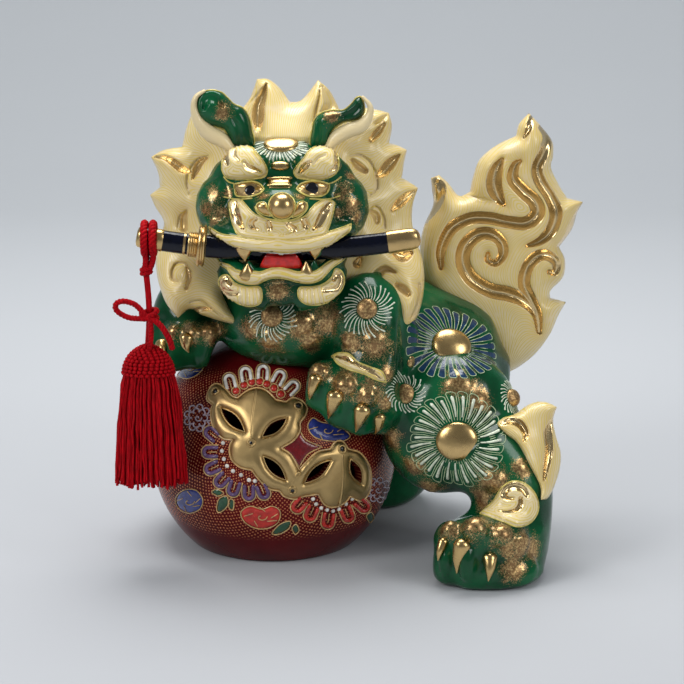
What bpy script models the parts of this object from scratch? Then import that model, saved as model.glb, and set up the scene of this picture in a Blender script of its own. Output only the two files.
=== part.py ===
"""Glazed ceramic guardian lion with its forepaws on a pierced ball and a tasselled sword in its mouth.

The lion is an assembly of hollow-cast pieces that are luted together: ball, torso, head, jaw, tongue,
mane, ears, four legs, hock tufts and tail. The sword is a separate piece that slides through the mouth
along its own curve, and a cord with a tassel hangs from its hilt.

Every length below is in millimetres and is turned into metres when a mesh is made. The lion faces -Y,
its body runs along X with the tail at +X, and +Z is up.
"""

import math

import bmesh
import bpy
import numpy as np
from mathutils import Matrix, Vector
from mathutils.bvhtree import BVHTree
from mathutils.geometry import delaunay_2d_cdt

MM = 0.001

# Driving dimensions: the crest stands about ten sun, 300 mm, above the table
JOINT_GAP = 0.35  # clearance between two luted pieces

# Ball
BALL_CENTRE = Vector((-43.0, 0.0, 56.0))
BALL_RADIUS = 77.0
BALL_WALL = 6.0
VENT_RADIUS = 9.0

# Head, placed from the middle of the face
FACE_X = -35.5

# Sword: one arc in the plane Y = SWORD_Y, lowest in the middle of the mouth
SWORD_Y = -70.0
SWORD_RADIUS = 450.0
SWORD_LOW_Z = 201.0
SWORD_CLEARANCE = 1.4
SCABBARD_HALF = (5.0, 6.8)
HILT_HALF = (4.9, 6.2)
GUARD_HALF = (10.0, 12.5)

# Cord and tassel
WRAP_X = -113.5
CORD_RADIUS = 1.8
TASSEL_X = -115.5

# How finely a sculpted piece is remeshed, and how many triangles it keeps
VOXEL = 2.2

# Each sculpted form before it is cut to its neighbours, kept as a clean cutter
FORMS = {}


def clear_scene():
    for item in list(bpy.data.objects):
        bpy.data.objects.remove(item)


# Materials

def finish(name, colour, roughness, metallic=0.0):
    """A plain Principled material in linear colour."""
    made = bpy.data.materials.new(name)
    made.use_nodes = True
    shader = made.node_tree.nodes["Principled BSDF"]
    shader.inputs["Base Color"].default_value = (*colour, 1.0)
    shader.inputs["Roughness"].default_value = roughness
    shader.inputs["Metallic"].default_value = metallic
    return made


def make_finishes():
    return {
        "green": finish("green_glaze", (0.010, 0.105, 0.035), 0.16),
        "ivory": finish("ivory_glaze", (0.62, 0.52, 0.30), 0.32),
        "red_ball": finish("iron_red_glaze", (0.13, 0.012, 0.012), 0.2),
        "gold": finish("gilding", (0.62, 0.44, 0.17), 0.25, 1.0),
        "tongue": finish("tongue_red", (0.62, 0.02, 0.02), 0.25),
        "black": finish("black_glaze", (0.006, 0.007, 0.018), 0.1),
        "cord": finish("red_cord", (0.42, 0.004, 0.012), 0.8),
    }


# Shapes, added to a mesh in millimetres

def smooth_path(points, steps):
    """A Catmull-Rom curve through points: rows of numbers, so a radius can ride along with a place."""
    rows = [Vector(p) for p in points]
    rows = [rows[0] * 2 - rows[1], *rows, rows[-1] * 2 - rows[-2]]
    found = []
    for a, b, c, d in zip(rows, rows[1:], rows[2:], rows[3:]):
        for k in range(steps):
            t = k / steps
            found.append(0.5 * (2 * b + (c - a) * t + (2 * a - 5 * b + 4 * c - d) * t * t
                                + (3 * b - a - 3 * c + d) * t ** 3))
    found.append(rows[-2])
    return found


def add_blob(bm, centre, radii, turn=(0.0, 0.0, 0.0)):
    """An ellipsoid, turned by XYZ angles in degrees."""
    spin = Matrix.Rotation(math.radians(turn[2]), 4, "Z")
    spin = spin @ Matrix.Rotation(math.radians(turn[1]), 4, "Y")
    spin = spin @ Matrix.Rotation(math.radians(turn[0]), 4, "X")
    place = Matrix.Translation(Vector(centre)) @ spin @ Matrix.Diagonal((*radii, 1.0))
    bmesh.ops.create_uvsphere(bm, u_segments=20, v_segments=12, radius=1.0, matrix=place)


def add_loft(bm, stations, facing=(0.0, -1.0, 0.0), sides=14, steps=5):
    """A tube of oval sections along a smooth spine.

    A station is (x, y, z, half_width, half_depth). The depth lies along facing, the width across it.
    """
    rows = smooth_path([tuple(s) if len(s) == 5 else (*s, s[3]) for s in stations], steps)
    spine = [Vector(r[:3]) for r in rows]
    rings = []
    for i, row in enumerate(rows):
        ahead = spine[min(i + 1, len(spine) - 1)] - spine[max(i - 1, 0)]
        ahead.normalize()
        deep = Vector(facing) - ahead * ahead.dot(Vector(facing))
        deep.normalize()
        wide = ahead.cross(deep)
        ring = []
        for k in range(sides):
            a = 2 * math.pi * k / sides
            offset = wide * (math.cos(a) * max(row[3], 0.25)) + deep * (math.sin(a) * max(row[4], 0.25))
            ring.append(bm.verts.new(spine[i] + offset))
        rings.append(ring)
    faces = []
    for low, high in zip(rings, rings[1:]):
        for k in range(sides):
            n = (k + 1) % sides
            faces.append(bm.faces.new((low[k], low[n], high[n], high[k])))
    faces.append(bm.faces.new(rings[0]))
    faces.append(bm.faces.new(rings[-1]))
    bmesh.ops.recalc_face_normals(bm, faces=faces)


# Carved plates: hair that was traced in the photograph's pixels and stands in the lion at a chosen depth

PIXEL = 0.625
PICTURE_MIDDLE = 342.0
VIEW_DISTANCE = 1500.0
VIEW_TILT = math.radians(15)
AIM = np.array((0.0, 0.0, 126.0))
AHEAD = np.array((0.0, math.cos(VIEW_TILT), -math.sin(VIEW_TILT)))
UPWARD = np.array((0.0, math.sin(VIEW_TILT), math.cos(VIEW_TILT)))
EYE = AIM - VIEW_DISTANCE * AHEAD


def on_depth(px, py, depth):
    """Where the line of sight through a pixel meets the plane of one Y."""
    px, py = np.asarray(px, float), np.asarray(py, float)
    ray = AHEAD * VIEW_DISTANCE + (px - PICTURE_MIDDLE)[..., None] * PIXEL * np.array((1.0, 0.0, 0.0))
    ray = ray + (PICTURE_MIDDLE - py)[..., None] * PIXEL * UPWARD
    return EYE + ray * ((np.asarray(depth, float) - EYE[1]) / ray[..., 1])[..., None]


def closed_outline(points, steps=5):
    """A closed smooth line through (x, y) points. A point with a third value is a sharp corner."""
    plain = [p[:2] for p in points]
    sharp = [k for k, p in enumerate(points) if len(p) > 2] or [0]
    count = len(plain)
    found = []
    for a, b in zip(sharp, [*sharp[1:], sharp[0] + count]):
        found += smooth_path([plain[k % count] for k in range(a, b + 1)], steps)[:-1]
    return np.array([tuple(p) for p in found])


def evenly(loop, gap):
    """The same closed line with points about gap apart."""
    loop = np.vstack((loop, loop[:1]))
    run = np.concatenate(([0], np.cumsum(np.linalg.norm(np.diff(loop, axis=0), axis=1))))
    at = np.linspace(0, run[-1], max(4, round(run[-1] / gap)) + 1)[:-1]
    return np.stack((np.interp(at, run, loop[:, 0]), np.interp(at, run, loop[:, 1])), axis=1)


def rim_distance(points, loop):
    best = np.full(len(points), 1e9)
    for p, q in zip(loop, np.roll(loop, -1, axis=0)):
        along = q - p
        t = np.clip(((points - p) @ along) / max(along @ along, 1e-12), 0, 1)
        best = np.minimum(best, np.linalg.norm(points - p - t[:, None] * along, axis=1))
    return best


def within(points, loop):
    inside = np.zeros(len(points), bool)
    for (x0, y0), (x1, y1) in zip(loop, np.roll(loop, -1, axis=0)):
        crosses = (y0 > points[:, 1]) != (y1 > points[:, 1])
        inside ^= crosses & (points[:, 0] < (x1 - x0) * (points[:, 1] - y0) / (y1 - y0 + 1e-12) + x0)
    return inside


def filled(loop, gap):
    """Triangles inside a loop, and how many of their points are on its rim."""
    rim = evenly(loop, gap)
    low, high = rim.min(0), rim.max(0)
    rows = np.arange(low[1], high[1], gap * 0.87)
    columns = np.arange(low[0], high[0], gap)
    grid = np.array([(x + (k % 2) * gap / 2, y) for k, y in enumerate(rows) for x in columns])
    grid = grid[within(grid, rim) & (rim_distance(grid, rim) > gap * 0.55)]
    edges = [(k, (k + 1) % len(rim)) for k in range(len(rim))]
    corners = [Vector(c) for c in np.vstack((rim, grid))]
    points, _, faces, *_ = delaunay_2d_cdt(corners, edges, [], 0, 1e-5)
    points = np.array([tuple(p) for p in points])
    middles = np.array([points[list(f)].mean(0) for f in faces])
    return points, [f for f, keep in zip(faces, within(middles, rim)) if keep], len(rim)


def eased(x):
    x = np.clip(x, 0, 1)
    return x * x * (3 - 2 * x)


def dome(edge, reach):
    return np.sqrt(np.clip(1 - (1 - np.clip(edge / reach, 0, 1)) ** 2, 0, 1))


def carved(points, grooves, widen):
    """Depth cut away at each point by grooves of (x, y, half width) stations."""
    depth_cut = np.zeros(len(points))
    for stations, depth in grooves:
        near = np.full(len(points), 1e9)
        for x, y, half in smooth_path(stations, 8):
            near = np.minimum(near, np.hypot(points[:, 0] - x, points[:, 1] - y) / max(half * widen, 0.3))
        depth_cut += depth * (np.exp(-near ** 2) - 0.3 * np.exp(-((near - 1.9) / 0.6) ** 2))
    return depth_cut


def add_carved_plate(bm, outline, grooves, front, back, gap=2.4, widen=1.0):
    """A plate whose face and back are given as Y from the pixel, the distance to the rim and the carving."""
    loop = closed_outline(outline)
    flat, faces, rim = filled(loop, gap)
    edge = rim_distance(flat, loop)
    cut = carved(flat, grooves, widen)
    none = np.zeros(len(flat))
    face = on_depth(flat[:, 0], flat[:, 1], front(flat, edge, cut))
    middle = on_depth(flat[:, 0], flat[:, 1], front(flat, none, none))
    rear = middle.copy()
    rear[:, 1] = back(flat, edge, cut)
    face[:rim] = middle[:rim]
    near = [bm.verts.new(p) for p in face]
    far = [near[k] if k < rim else bm.verts.new(p) for k, p in enumerate(rear)]
    made = []
    for f in faces:
        if max(f) < rim:
            continue
        made.append(bm.faces.new([near[k] for k in f]))
        made.append(bm.faces.new([far[k] for k in reversed(f)]))
    bmesh.ops.recalc_face_normals(bm, faces=made)


# From a mesh to a finished piece

def evaluated_mesh(item):
    bpy.context.view_layer.update()
    graph = bpy.context.evaluated_depsgraph_get()
    return bpy.data.meshes.new_from_object(item.evaluated_get(graph))


def apply_modifiers(item):
    made = evaluated_mesh(item)
    item.modifiers.clear()
    old = item.data
    item.data = made
    bpy.data.meshes.remove(old)


def keep_largest_body(item):
    """Removes the crumbs that a cut can leave beside the piece."""
    bm = bmesh.new()
    bm.from_mesh(item.data)
    left = set(bm.verts)
    bodies = []
    while left:
        seen = {left.pop()}
        edge_of = list(seen)
        while edge_of:
            vert = edge_of.pop()
            for edge in vert.link_edges:
                other = edge.other_vert(vert)
                if other not in seen:
                    seen.add(other)
                    edge_of.append(other)
        left -= seen
        bodies.append(seen)
    bodies.sort(key=len)
    bmesh.ops.delete(bm, geom=[v for body in bodies[:-1] for v in body], context="VERTS")
    bm.to_mesh(item.data)
    bm.free()


def new_piece(name, bm, material):
    """An object from a mesh in millimetres."""
    bmesh.ops.scale(bm, vec=(MM, MM, MM), verts=bm.verts)
    mesh = bpy.data.meshes.new(name)
    bm.to_mesh(mesh)
    bm.free()
    mesh.shade_smooth()
    item = bpy.data.objects.new(name, mesh)
    item.data.materials.append(material)
    bpy.context.scene.collection.objects.link(item)
    return item


def sculpted(name, bm, material, triangles, smooth=6, voxel=VOXEL, flat_base=False):
    """Fuses overlapping shapes into one skin, rounds the creases and thins the mesh."""
    item = new_piece(name, bm, material)
    remesh = item.modifiers.new("fuse", "REMESH")
    remesh.mode = "VOXEL"
    remesh.voxel_size = voxel * MM
    rounding = item.modifiers.new("round", "SMOOTH")
    rounding.factor = 0.5
    rounding.iterations = smooth
    apply_modifiers(item)
    keep_largest_body(item)
    thin = item.modifiers.new("thin", "DECIMATE")
    thin.ratio = min(1.0, triangles / (2.0 * len(item.data.polygons)))
    apply_modifiers(item)
    if flat_base:
        cut_below_table(item)
    item.data.shade_smooth()
    FORMS[name] = item.data.copy()
    return item


def cut_below_table(item):
    """Leaves a flat sole where a piece stands on the table."""
    bm = bmesh.new()
    bm.from_mesh(item.data)
    geometry = bm.verts[:] + bm.edges[:] + bm.faces[:]
    cut = bmesh.ops.bisect_plane(bm, geom=geometry, plane_co=(0, 0, 0), plane_no=(0, 0, -1),
                                 clear_outer=True, dist=1e-7)
    rim = [e for e in cut["geom_cut"] if isinstance(e, bmesh.types.BMEdge)]
    bmesh.ops.contextual_create(bm, geom=rim)
    bmesh.ops.triangulate(bm, faces=bm.faces[:])
    bmesh.ops.recalc_face_normals(bm, faces=bm.faces[:])
    bm.to_mesh(item.data)
    bm.free()


def boolean(item, other, operation):
    cut = item.modifiers.new("joint", "BOOLEAN")
    cut.operation = operation
    cut.object = other
    # The mane's deep creases can cross themselves, which the plain cut can't follow
    cut.use_self = item.name == "mane"
    apply_modifiers(item)


def swollen(item, by):
    """A copy of a piece with its skin moved out evenly, as a cutter for its neighbour."""
    cutter = item.copy()
    cutter.data = FORMS.get(item.name, item.data).copy()
    bpy.context.scene.collection.objects.link(cutter)
    bm = bmesh.new()
    bm.from_mesh(cutter.data)
    bm.normal_update()
    moves = [vert.normal * by * MM * min(vert.calc_shell_factor(), 3.0) for vert in bm.verts]
    for vert, move in zip(bm.verts, moves):
        vert.co += move
    bm.to_mesh(cutter.data)
    bm.free()
    return cutter


def seat(item, *neighbours, gap=JOINT_GAP):
    """Cuts a piece so that it meets its neighbours with a luting gap.

    The second, closer cut clears the few creases where an evenly moved skin falls short.
    """
    for neighbour in neighbours:
        for by in (gap, gap * 0.15):
            cutter = swollen(neighbour, by)
            boolean(item, cutter, "DIFFERENCE")
            bpy.data.objects.remove(cutter)
            keep_largest_body(item)
    item.data.shade_smooth()


# The ball

def slot_cutter(direction, turn, length=23.0, width=8.5):
    """A leaf-shaped prism through the wall of the ball, pointing out along direction."""
    bm = bmesh.new()
    count = 5
    leaf = []
    for side in (1, -1):
        for k in range(count):
            t = -1 + 2 * k / count
            leaf.append((side * t * length / 2, side * (1 - t * t) * width / 2))
    low = [bm.verts.new((x, y, BALL_RADIUS - BALL_WALL - 6)) for x, y in leaf]
    high = [bm.verts.new((x, y, BALL_RADIUS + 6)) for x, y in leaf]
    bm.faces.new(low)
    bm.faces.new(high)
    for k in range(len(leaf)):
        n = (k + 1) % len(leaf)
        bm.faces.new((low[k], low[n], high[n], high[k]))
    bmesh.ops.recalc_face_normals(bm, faces=bm.faces[:])
    aim = Vector(direction).to_track_quat("Z", "Y").to_matrix().to_4x4()
    bm.transform(Matrix.Translation(BALL_CENTRE) @ aim @ Matrix.Rotation(math.radians(turn), 4, "Z"))
    return bm


# Pierced leaves: a place on the ball as (right, up) angles from its front, and the turn of the leaf
SLOTS = ((-20, 30, -36), (2, 27, 37), (2, 9, -46), (22, 6, 34), (42, 3, -63))


def make_ball(looks):
    bm = bmesh.new()
    bmesh.ops.create_uvsphere(bm, u_segments=32, v_segments=20, radius=BALL_RADIUS,
                              matrix=Matrix.Translation(BALL_CENTRE))
    ball = new_piece("ball", bm, looks["red_ball"])
    cut_below_table(ball)
    hollow = bmesh.new()
    inner = BALL_RADIUS - BALL_WALL
    bmesh.ops.create_uvsphere(hollow, u_segments=16, v_segments=9, radius=inner,
                              matrix=Matrix.Translation(BALL_CENTRE))
    floor = BALL_WALL
    for vert in hollow.verts:
        vert.co.z = max(vert.co.z, floor)
    bmesh.ops.remove_doubles(hollow, verts=hollow.verts, dist=0.01)
    cutters = [new_piece("ball_hollow", hollow, looks["red_ball"])]
    vent = bmesh.new()
    bmesh.ops.create_cone(vent, cap_ends=True, segments=16, radius1=VENT_RADIUS, radius2=VENT_RADIUS,
                          depth=40, matrix=Matrix.Translation((BALL_CENTRE.x, BALL_CENTRE.y, 0)))
    cutters.append(new_piece("ball_vent", vent, looks["red_ball"]))
    for right, up, turn in SLOTS:
        a, e = math.radians(right), math.radians(up)
        out = Vector((math.sin(a) * math.cos(e), -math.cos(a) * math.cos(e), math.sin(e)))
        cutters.append(new_piece("ball_slot", slot_cutter(out, turn), looks["red_ball"]))
    for cutter in cutters:
        boolean(ball, cutter, "DIFFERENCE")
        bpy.data.objects.remove(cutter)
    ball.data.shade_smooth()
    ball.data.set_sharp_from_angle(angle=math.radians(40))
    return ball


# The body and legs

def make_torso(looks):
    bm = bmesh.new()
    add_blob(bm, (-33, -14, 178), (40, 36, 36))
    add_blob(bm, (-30, -12, 152), (52, 48, 40))
    add_loft(bm, ((-20, 0, 152, 46, 50), (30, 0, 126, 44, 47), (74, 6, 104, 44, 46), (100, 10, 96, 20, 24)),
             facing=(0, -1, 0), sides=20)
    return sculpted("torso", bm, looks["green"], 480, smooth=10)


def toe(bm, knuckle, tip, size):
    add_blob(bm, knuckle, (size, size, size * 0.95))
    add_loft(bm, ((*knuckle, size * 0.9, size * 0.9), (*tip, size * 0.75, size * 0.75)))
    add_blob(bm, tip, (size * 0.8, size * 0.8, size * 0.8))


def make_near_foreleg(looks):
    bm = bmesh.new()
    leg = ((8, -30, 166, 24), (16, -42, 152, 27), (27, -48, 134, 22), (16, -54, 120, 23), (8, -54, 112, 20))
    add_loft(bm, leg)
    for knuckle, tip, size in (
        ((-11, -60, 121), (-15, -62, 108), 11),
        ((2, -67, 115), (-2, -67, 99), 12),
        ((16, -67, 109), (11, -66, 94), 12),
        ((28, -60, 103), (24, -58, 90), 10),
    ):
        toe(bm, knuckle, tip, size)
    return sculpted("near_foreleg", bm, looks["green"], 600, smooth=5)


def make_far_foreleg(looks):
    bm = bmesh.new()
    add_loft(bm, ((-62, 4, 166, 24), (-82, 2, 160, 24), (-96, -4, 148, 21), (-98, -14, 138, 20)))
    for knuckle, tip, size in (
        ((-86, -31, 138), (-88, -36, 126), 11),
        ((-99, -28, 137), (-102, -33, 124), 11),
        ((-111, -18, 132), (-114, -21, 120), 10),
        ((-113, -3, 132), (-119, -4, 120), 9),
    ):
        toe(bm, knuckle, tip, size)
    return sculpted("far_foreleg", bm, looks["green"], 480, smooth=5)


def make_near_hind_leg(looks):
    bm = bmesh.new()
    add_blob(bm, (66, -40, 86), (42, 30, 46), turn=(0, 20, 0))
    add_loft(bm, ((84, -48, 76, 30), (103, -58, 52, 25), (103, -64, 30, 25), (100, -66, 12, 26)))
    add_blob(bm, (88, -76, 18), (30, 26, 22))
    for knuckle, tip, size in (
        ((66, -88, 28), (63, -92, 9), 12),
        ((80, -94, 31), (77, -97, 9), 14),
        ((98, -90, 29), (95, -94, 9), 14),
        ((112, -76, 26), (112, -78, 9), 13),
    ):
        toe(bm, knuckle, tip, size)
    add_blob(bm, (90, -78, 6), (34, 30, 12))
    return sculpted("near_hind_leg", bm, looks["green"], 640, smooth=5, flat_base=True)


def make_far_hind_leg(looks):
    bm = bmesh.new()
    add_blob(bm, (46, 42, 84), (40, 28, 44), turn=(0, 15, 0))
    add_loft(bm, ((42, 50, 72, 28), (44, 60, 50, 24), (36, 66, 28, 24), (32, 68, 12, 25)))
    add_blob(bm, (24, 70, 18), (28, 26, 22))
    for knuckle, tip, size in (
        ((10, 52, 28), (6, 50, 9), 12),
        ((4, 66, 30), (0, 66, 9), 13),
        ((6, 82, 28), (2, 84, 9), 13),
        ((20, 94, 26), (18, 97, 9), 12),
    ):
        toe(bm, knuckle, tip, size)
    add_blob(bm, (22, 72, 6), (30, 32, 12))
    return sculpted("far_hind_leg", bm, looks["green"], 480, smooth=5, flat_base=True)


TUFT_OUTLINE = (
    (497, 424), (503, 417, 1), (515, 414), (530, 404), (545, 402), (557, 407, 1), (553, 420), (556, 436),
    (561, 455), (558, 476), (549, 497), (541, 500, 1), (540, 486), (530, 466), (518, 444), (506, 434),
)
TUFT_HOLLOWS = (
    (((502, 424, 2), (510, 421, 3.5), (520, 424, 4.5), (526, 434, 3), (524, 441, 1.5)), 2.6),
    (((552, 419, 1), (548, 432, 4.5), (549, 450, 4.5), (546, 468, 3.5), (544, 480, 1.5)), 2.8),
)


def make_near_tuft(looks, leg):
    """A plume of hair that lies on the hock and runs on past it at the same depth."""
    bm = bmesh.new()
    mesh = leg.data
    corners = [v.co / MM for v in mesh.vertices]
    hock = BVHTree.FromPolygons(corners, [tuple(p.vertices) for p in mesh.polygons])

    def lying(flat):
        depths = []
        for px, py in flat:
            aim = Vector(on_depth(px, py, 0.0)) - Vector(EYE)
            place = hock.ray_cast(Vector(EYE), aim.normalized())[0]
            if place is None:
                place = hock.find_nearest(Vector(on_depth(px, py, -60.0)))[0]
            depths.append(place.y)
        return np.array(depths) - 1.5

    add_carved_plate(bm, TUFT_OUTLINE, TUFT_HOLLOWS,
                     lambda flat, edge, cut: lying(flat) - 6.5 * dome(edge, 12.0) + cut * dome(edge, 8.0),
                     lambda flat, edge, cut: lying(flat) + 6.5 * dome(edge, 12.0) - cut * dome(edge, 8.0))
    return sculpted("near_hock_tuft", bm, looks["ivory"], 300, smooth=1, voxel=1.2)


def make_far_tuft(looks):
    """The same plume on the far side, which the photograph doesn't show."""
    bm = bmesh.new()
    plume = ((74, 60, 40, 2, 3), (80, 58, 58, 8, 6), (81, 55, 76, 12, 7), (79, 54, 90, 9, 6),
             (82, 53, 98, 1, 2))
    add_loft(bm, plume)
    add_loft(bm, ((78, 55, 84, 11, 6), (64, 62, 92, 8, 6), (50, 68, 91, 4, 4)))
    return sculpted("far_hock_tuft", bm, looks["ivory"], 220, smooth=2, voxel=1.6)


# The tail: a flame-shaped plate with curling hollows on both faces

TAIL_Y = 17.0
TAIL_OUTLINE = (
    (431, 178, 1), (439, 175, 1), (448, 183), (459, 196), (470, 192, 1), (473, 177), (480, 159), (497, 145),
    (516, 136, 1), (519, 124), (529, 113, 1), (540, 125), (552, 141), (553, 156), (551, 168), (559, 185),
    (567, 198, 1), (583, 202, 1), (577, 213), (572, 229), (559, 247, 1), (565, 260), (563, 277), (551, 290),
    (550, 298, 1), (566, 302, 1), (558, 316), (550, 334), (535, 354), (515, 369), (500, 372), (486, 352),
    (474, 334), (452, 318), (430, 296), (421, 270), (420, 247), (424, 226), (433, 205), (432, 190),
)
# Hollows of (x, y, half width) stations, and their depth
TAIL_HOLLOWS = (
    (((441, 268, 2), (441, 250, 4), (450, 230, 5), (468, 219, 5), (488, 218, 5), (508, 222, 5),
      (526, 223, 5.5), (537, 214, 6), (535, 202, 6), (523, 191, 5.5), (513, 179, 5), (515, 166, 3.5),
      (520, 161, 1.5)), 4.2),
    (((538, 332, 1.5), (535, 314, 3), (524, 301, 5), (508, 294, 6), (490, 290, 6), (472, 279, 6),
      (463, 263, 6), (465, 247, 6), (477, 235, 5.5), (491, 234, 5), (501, 242, 4.5), (503, 254, 4),
      (496, 263, 3), (488, 260, 2.5), (488, 254, 2)), 4.2),
    (((540, 127, 1.5), (547, 138, 3.5), (544, 152, 4.5), (537, 167, 4.5), (540, 181, 5), (550, 197, 5),
      (556, 213, 5.5), (551, 230, 5), (540, 241, 3.5), (527, 246, 1.5)), 3.8),
    (((501, 163, 2), (495, 176, 4), (496, 190, 4.5), (504, 204, 1.5)), 3.2),
    (((494, 166, 1.5), (488, 182, 4.5), (491, 198, 2.5)), 3.0),
    (((540, 333, 1.5), (538, 315, 3.5), (531, 300, 4.5), (524, 284, 5), (527, 268, 5), (536, 257, 5),
      (547, 255, 4.5), (556, 262, 4), (555, 272, 3), (549, 272, 2)), 3.8),
    (((581, 206, 1), (575, 220, 3), (567, 237, 3), (558, 246, 1)), 2.4),
    (((435, 180, 2.5), (441, 188, 4.5), (437, 204, 4), (426, 222, 1.5)), 2.6),
)


def make_tail(looks):
    bm = bmesh.new()

    def half_depth(edge, cut):
        return 13.0 * dome(edge, 26.0) - cut * dome(edge, 12.0)

    add_carved_plate(bm, TAIL_OUTLINE, TAIL_HOLLOWS, lambda flat, edge, cut: TAIL_Y - half_depth(edge, cut),
                     lambda flat, edge, cut: TAIL_Y + half_depth(edge, cut), widen=1.3)
    return sculpted("tail", bm, looks["ivory"], 1250, smooth=1, voxel=1.5)


# The head

def sword_height(x):
    """Height of the sword's middle line at x."""
    return SWORD_LOW_Z + SWORD_RADIUS - math.sqrt(SWORD_RADIUS ** 2 - (x - FACE_X) ** 2)


def sword_run(x_from, x_to, half_from, half_to, count=8):
    """Stations of a bar that follows the sword's arc."""
    rows = []
    for k in range(count + 1):
        t = k / count
        x = x_from + (x_to - x_from) * t
        depth, height = (a + (b - a) * t for a, b in zip(half_from, half_to))
        rows.append((x, SWORD_Y, sword_height(x), height, depth))
    return rows


def mirrored(points):
    """The same stations on the other side of the face."""
    return tuple((2 * FACE_X - p[0], *p[1:]) for p in points)


def make_mouth_cutter(looks):
    """The channel that the sword slides through."""
    bm = bmesh.new()
    half = tuple(h + SWORD_CLEARANCE for h in SCABBARD_HALF)
    add_loft(bm, sword_run(-150, 80, half, half), sides=16, steps=2)
    return new_piece("sword_channel", bm, looks["black"])


def make_head(looks):
    bm = bmesh.new()
    add_blob(bm, (FACE_X, -36, 229), (47, 32, 34))
    for side in (-1, 1):
        add_blob(bm, (FACE_X + side * 36, -46, 222), (16, 17, 20))
        add_blob(bm, (FACE_X + side * 21, -64, 252), (15, 10, 9), turn=(0, side * 12, 0))
        add_blob(bm, (FACE_X + side * 19, -66, 239), (9, 6, 5))
        add_blob(bm, (FACE_X + side * 10, -82, 229), (6, 6, 5))
        fang_x = FACE_X + side * 20.5
        fang = ((fang_x, -80.5, 208, 5, 3), (fang_x, -81, 202, 4, 2.6), (fang_x - side, -81, 196, 1, 1))
        add_loft(bm, fang, sides=8)
    add_blob(bm, (FACE_X, -66, 222), (32, 20, 18))
    add_blob(bm, (FACE_X, -86, 231), (7.5, 7, 7.5))
    lip = ((-76.5, -58, 212, 6, 5), (-62.5, -75, 211, 6.5, 5), (FACE_X, -83, 207, 6.5, 5))
    add_loft(bm, (*lip, *reversed(mirrored(lip[:-1]))), facing=(0, 0, 1), sides=14)
    return sculpted("head", bm, looks["green"], 1050, smooth=4, voxel=1.7)


def make_lower_jaw(looks):
    bm = bmesh.new()
    add_blob(bm, (FACE_X, -50, 180), (33, 26, 12))
    add_blob(bm, (FACE_X, -67, 177), (17, 12, 11))
    lip = ((-71.5, -58, 196, 5, 4.5), (-59.5, -72, 188, 5.5, 5), (-45.5, -78, 188, 5, 4.5),
           (FACE_X, -79, 190, 4.5, 4.5))
    add_loft(bm, (*lip, *reversed(mirrored(lip[:-1]))), facing=(0, 0, 1), sides=12)
    horn = ((-44, -70, 171, 8, 8), (-56, -70, 174, 8, 8), (-67, -65, 181, 6.5, 6.5), (-72, -60, 188, 3, 3))
    for stations in (horn, mirrored(horn)):
        add_loft(bm, stations, sides=12)
    for side in (-1, 1):
        fang_x = FACE_X + side * 19
        fang = ((fang_x, -77.5, 188, 4.5, 3), (fang_x, -79, 193, 3.4, 2.4), (fang_x, -80, 198, 1, 1))
        add_loft(bm, fang, sides=8)
    return sculpted("lower_jaw", bm, looks["ivory"], 540, smooth=3, voxel=1.7)


def make_tongue(looks):
    bm = bmesh.new()
    stations = ((FACE_X, -52, 192, 10, 4), (FACE_X, -66, 192, 12, 4), (FACE_X, -78, 193, 12, 3.5),
                (FACE_X, -80.5, 200, 9, 2.5))
    add_loft(bm, stations, facing=(0, 0, 1), sides=12, steps=4)
    return sculpted("tongue", bm, looks["tongue"], 150, smooth=2, voxel=1.3)


# Cupped ears: the cup's outline, and the stations of the lip below it as (x, y, half width, half depth)
EAR_Y = -44.0
EARS = {
    "far_ear": (
        ((253, 146), (252, 130), (249, 117), (243, 108), (234, 104), (228, 98), (221, 92), (210, 90),
         (200, 94), (196, 103), (197, 116), (206, 124), (216, 127), (224, 130), (229, 138), (231, 147)),
        ((232, 149, 4, 4), (222, 140, 7, 4.5), (209, 133, 7.5, 4.5), (199, 122, 5.5, 4), (194, 108, 3.4, 3),
         (196, 97, 2.4, 2.4), (204, 91, 1.6, 1.8)),
    ),
    "near_ear": (
        ((311, 146), (312, 130), (315, 119), (321, 113), (332, 110), (343, 110), (351, 104), (356, 98),
         (361, 97), (364, 104), (364, 113), (357, 120), (345, 122), (336, 127), (330, 135), (328, 146)),
        ((328, 148, 4, 4), (336, 138, 6.5, 4.5), (348, 131, 7, 4.5), (361, 126, 6.5, 4), (369, 116, 4, 3),
         (370, 106, 2.6, 2.4), (363, 97, 1.4, 1.6)),
    ),
}


def make_ear(name, looks):
    cup, lip = EARS[name]
    bm = bmesh.new()
    add_carved_plate(bm, cup, (), lambda flat, edge, cut: EAR_Y - 7.5 * dome(edge, 12.0),
                     lambda flat, edge, cut: EAR_Y + 6.5 * dome(edge, 12.0))
    stations = [(*on_depth(px, py, EAR_Y - 3.0), half * PIXEL, deep) for px, py, half, deep in lip]
    add_loft(bm, stations, sides=14)
    return sculpted(name, bm, looks["green"], 250, smooth=2, voxel=1.2)


# The mane: one carved mass of locks round the face

MANE_OUTLINE = (
    (262, 78, 1), (276, 85), (288, 101, 1), (302, 89), (318, 80, 1), (330, 91), (341, 112, 1), (362, 108),
    (378, 110), (389, 113, 1), (392, 126), (389, 143, 1), (399, 146), (407, 150, 1), (404, 163),
    (402, 178, 1), (411, 183), (418, 188, 1), (413, 204), (412, 222), (416, 240), (423, 262), (424, 288),
    (419, 312), (407, 333), (393, 346, 1), (396, 328), (393, 306), (382, 290), (372, 301, 1), (364, 286),
    (340, 284), (300, 288), (262, 288), (236, 286), (222, 290), (230, 310), (242, 326, 1), (224, 322),
    (202, 315), (190, 309), (178, 318, 1), (166, 303), (158, 280), (156, 258), (160, 238), (164, 222),
    (156, 208), (150, 195, 1), (160, 187, 1), (158, 172), (151, 157, 1), (164, 150), (182, 147, 1),
    (187, 126), (198, 106), (222, 100), (244, 108, 1), (252, 92),
)
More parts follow.
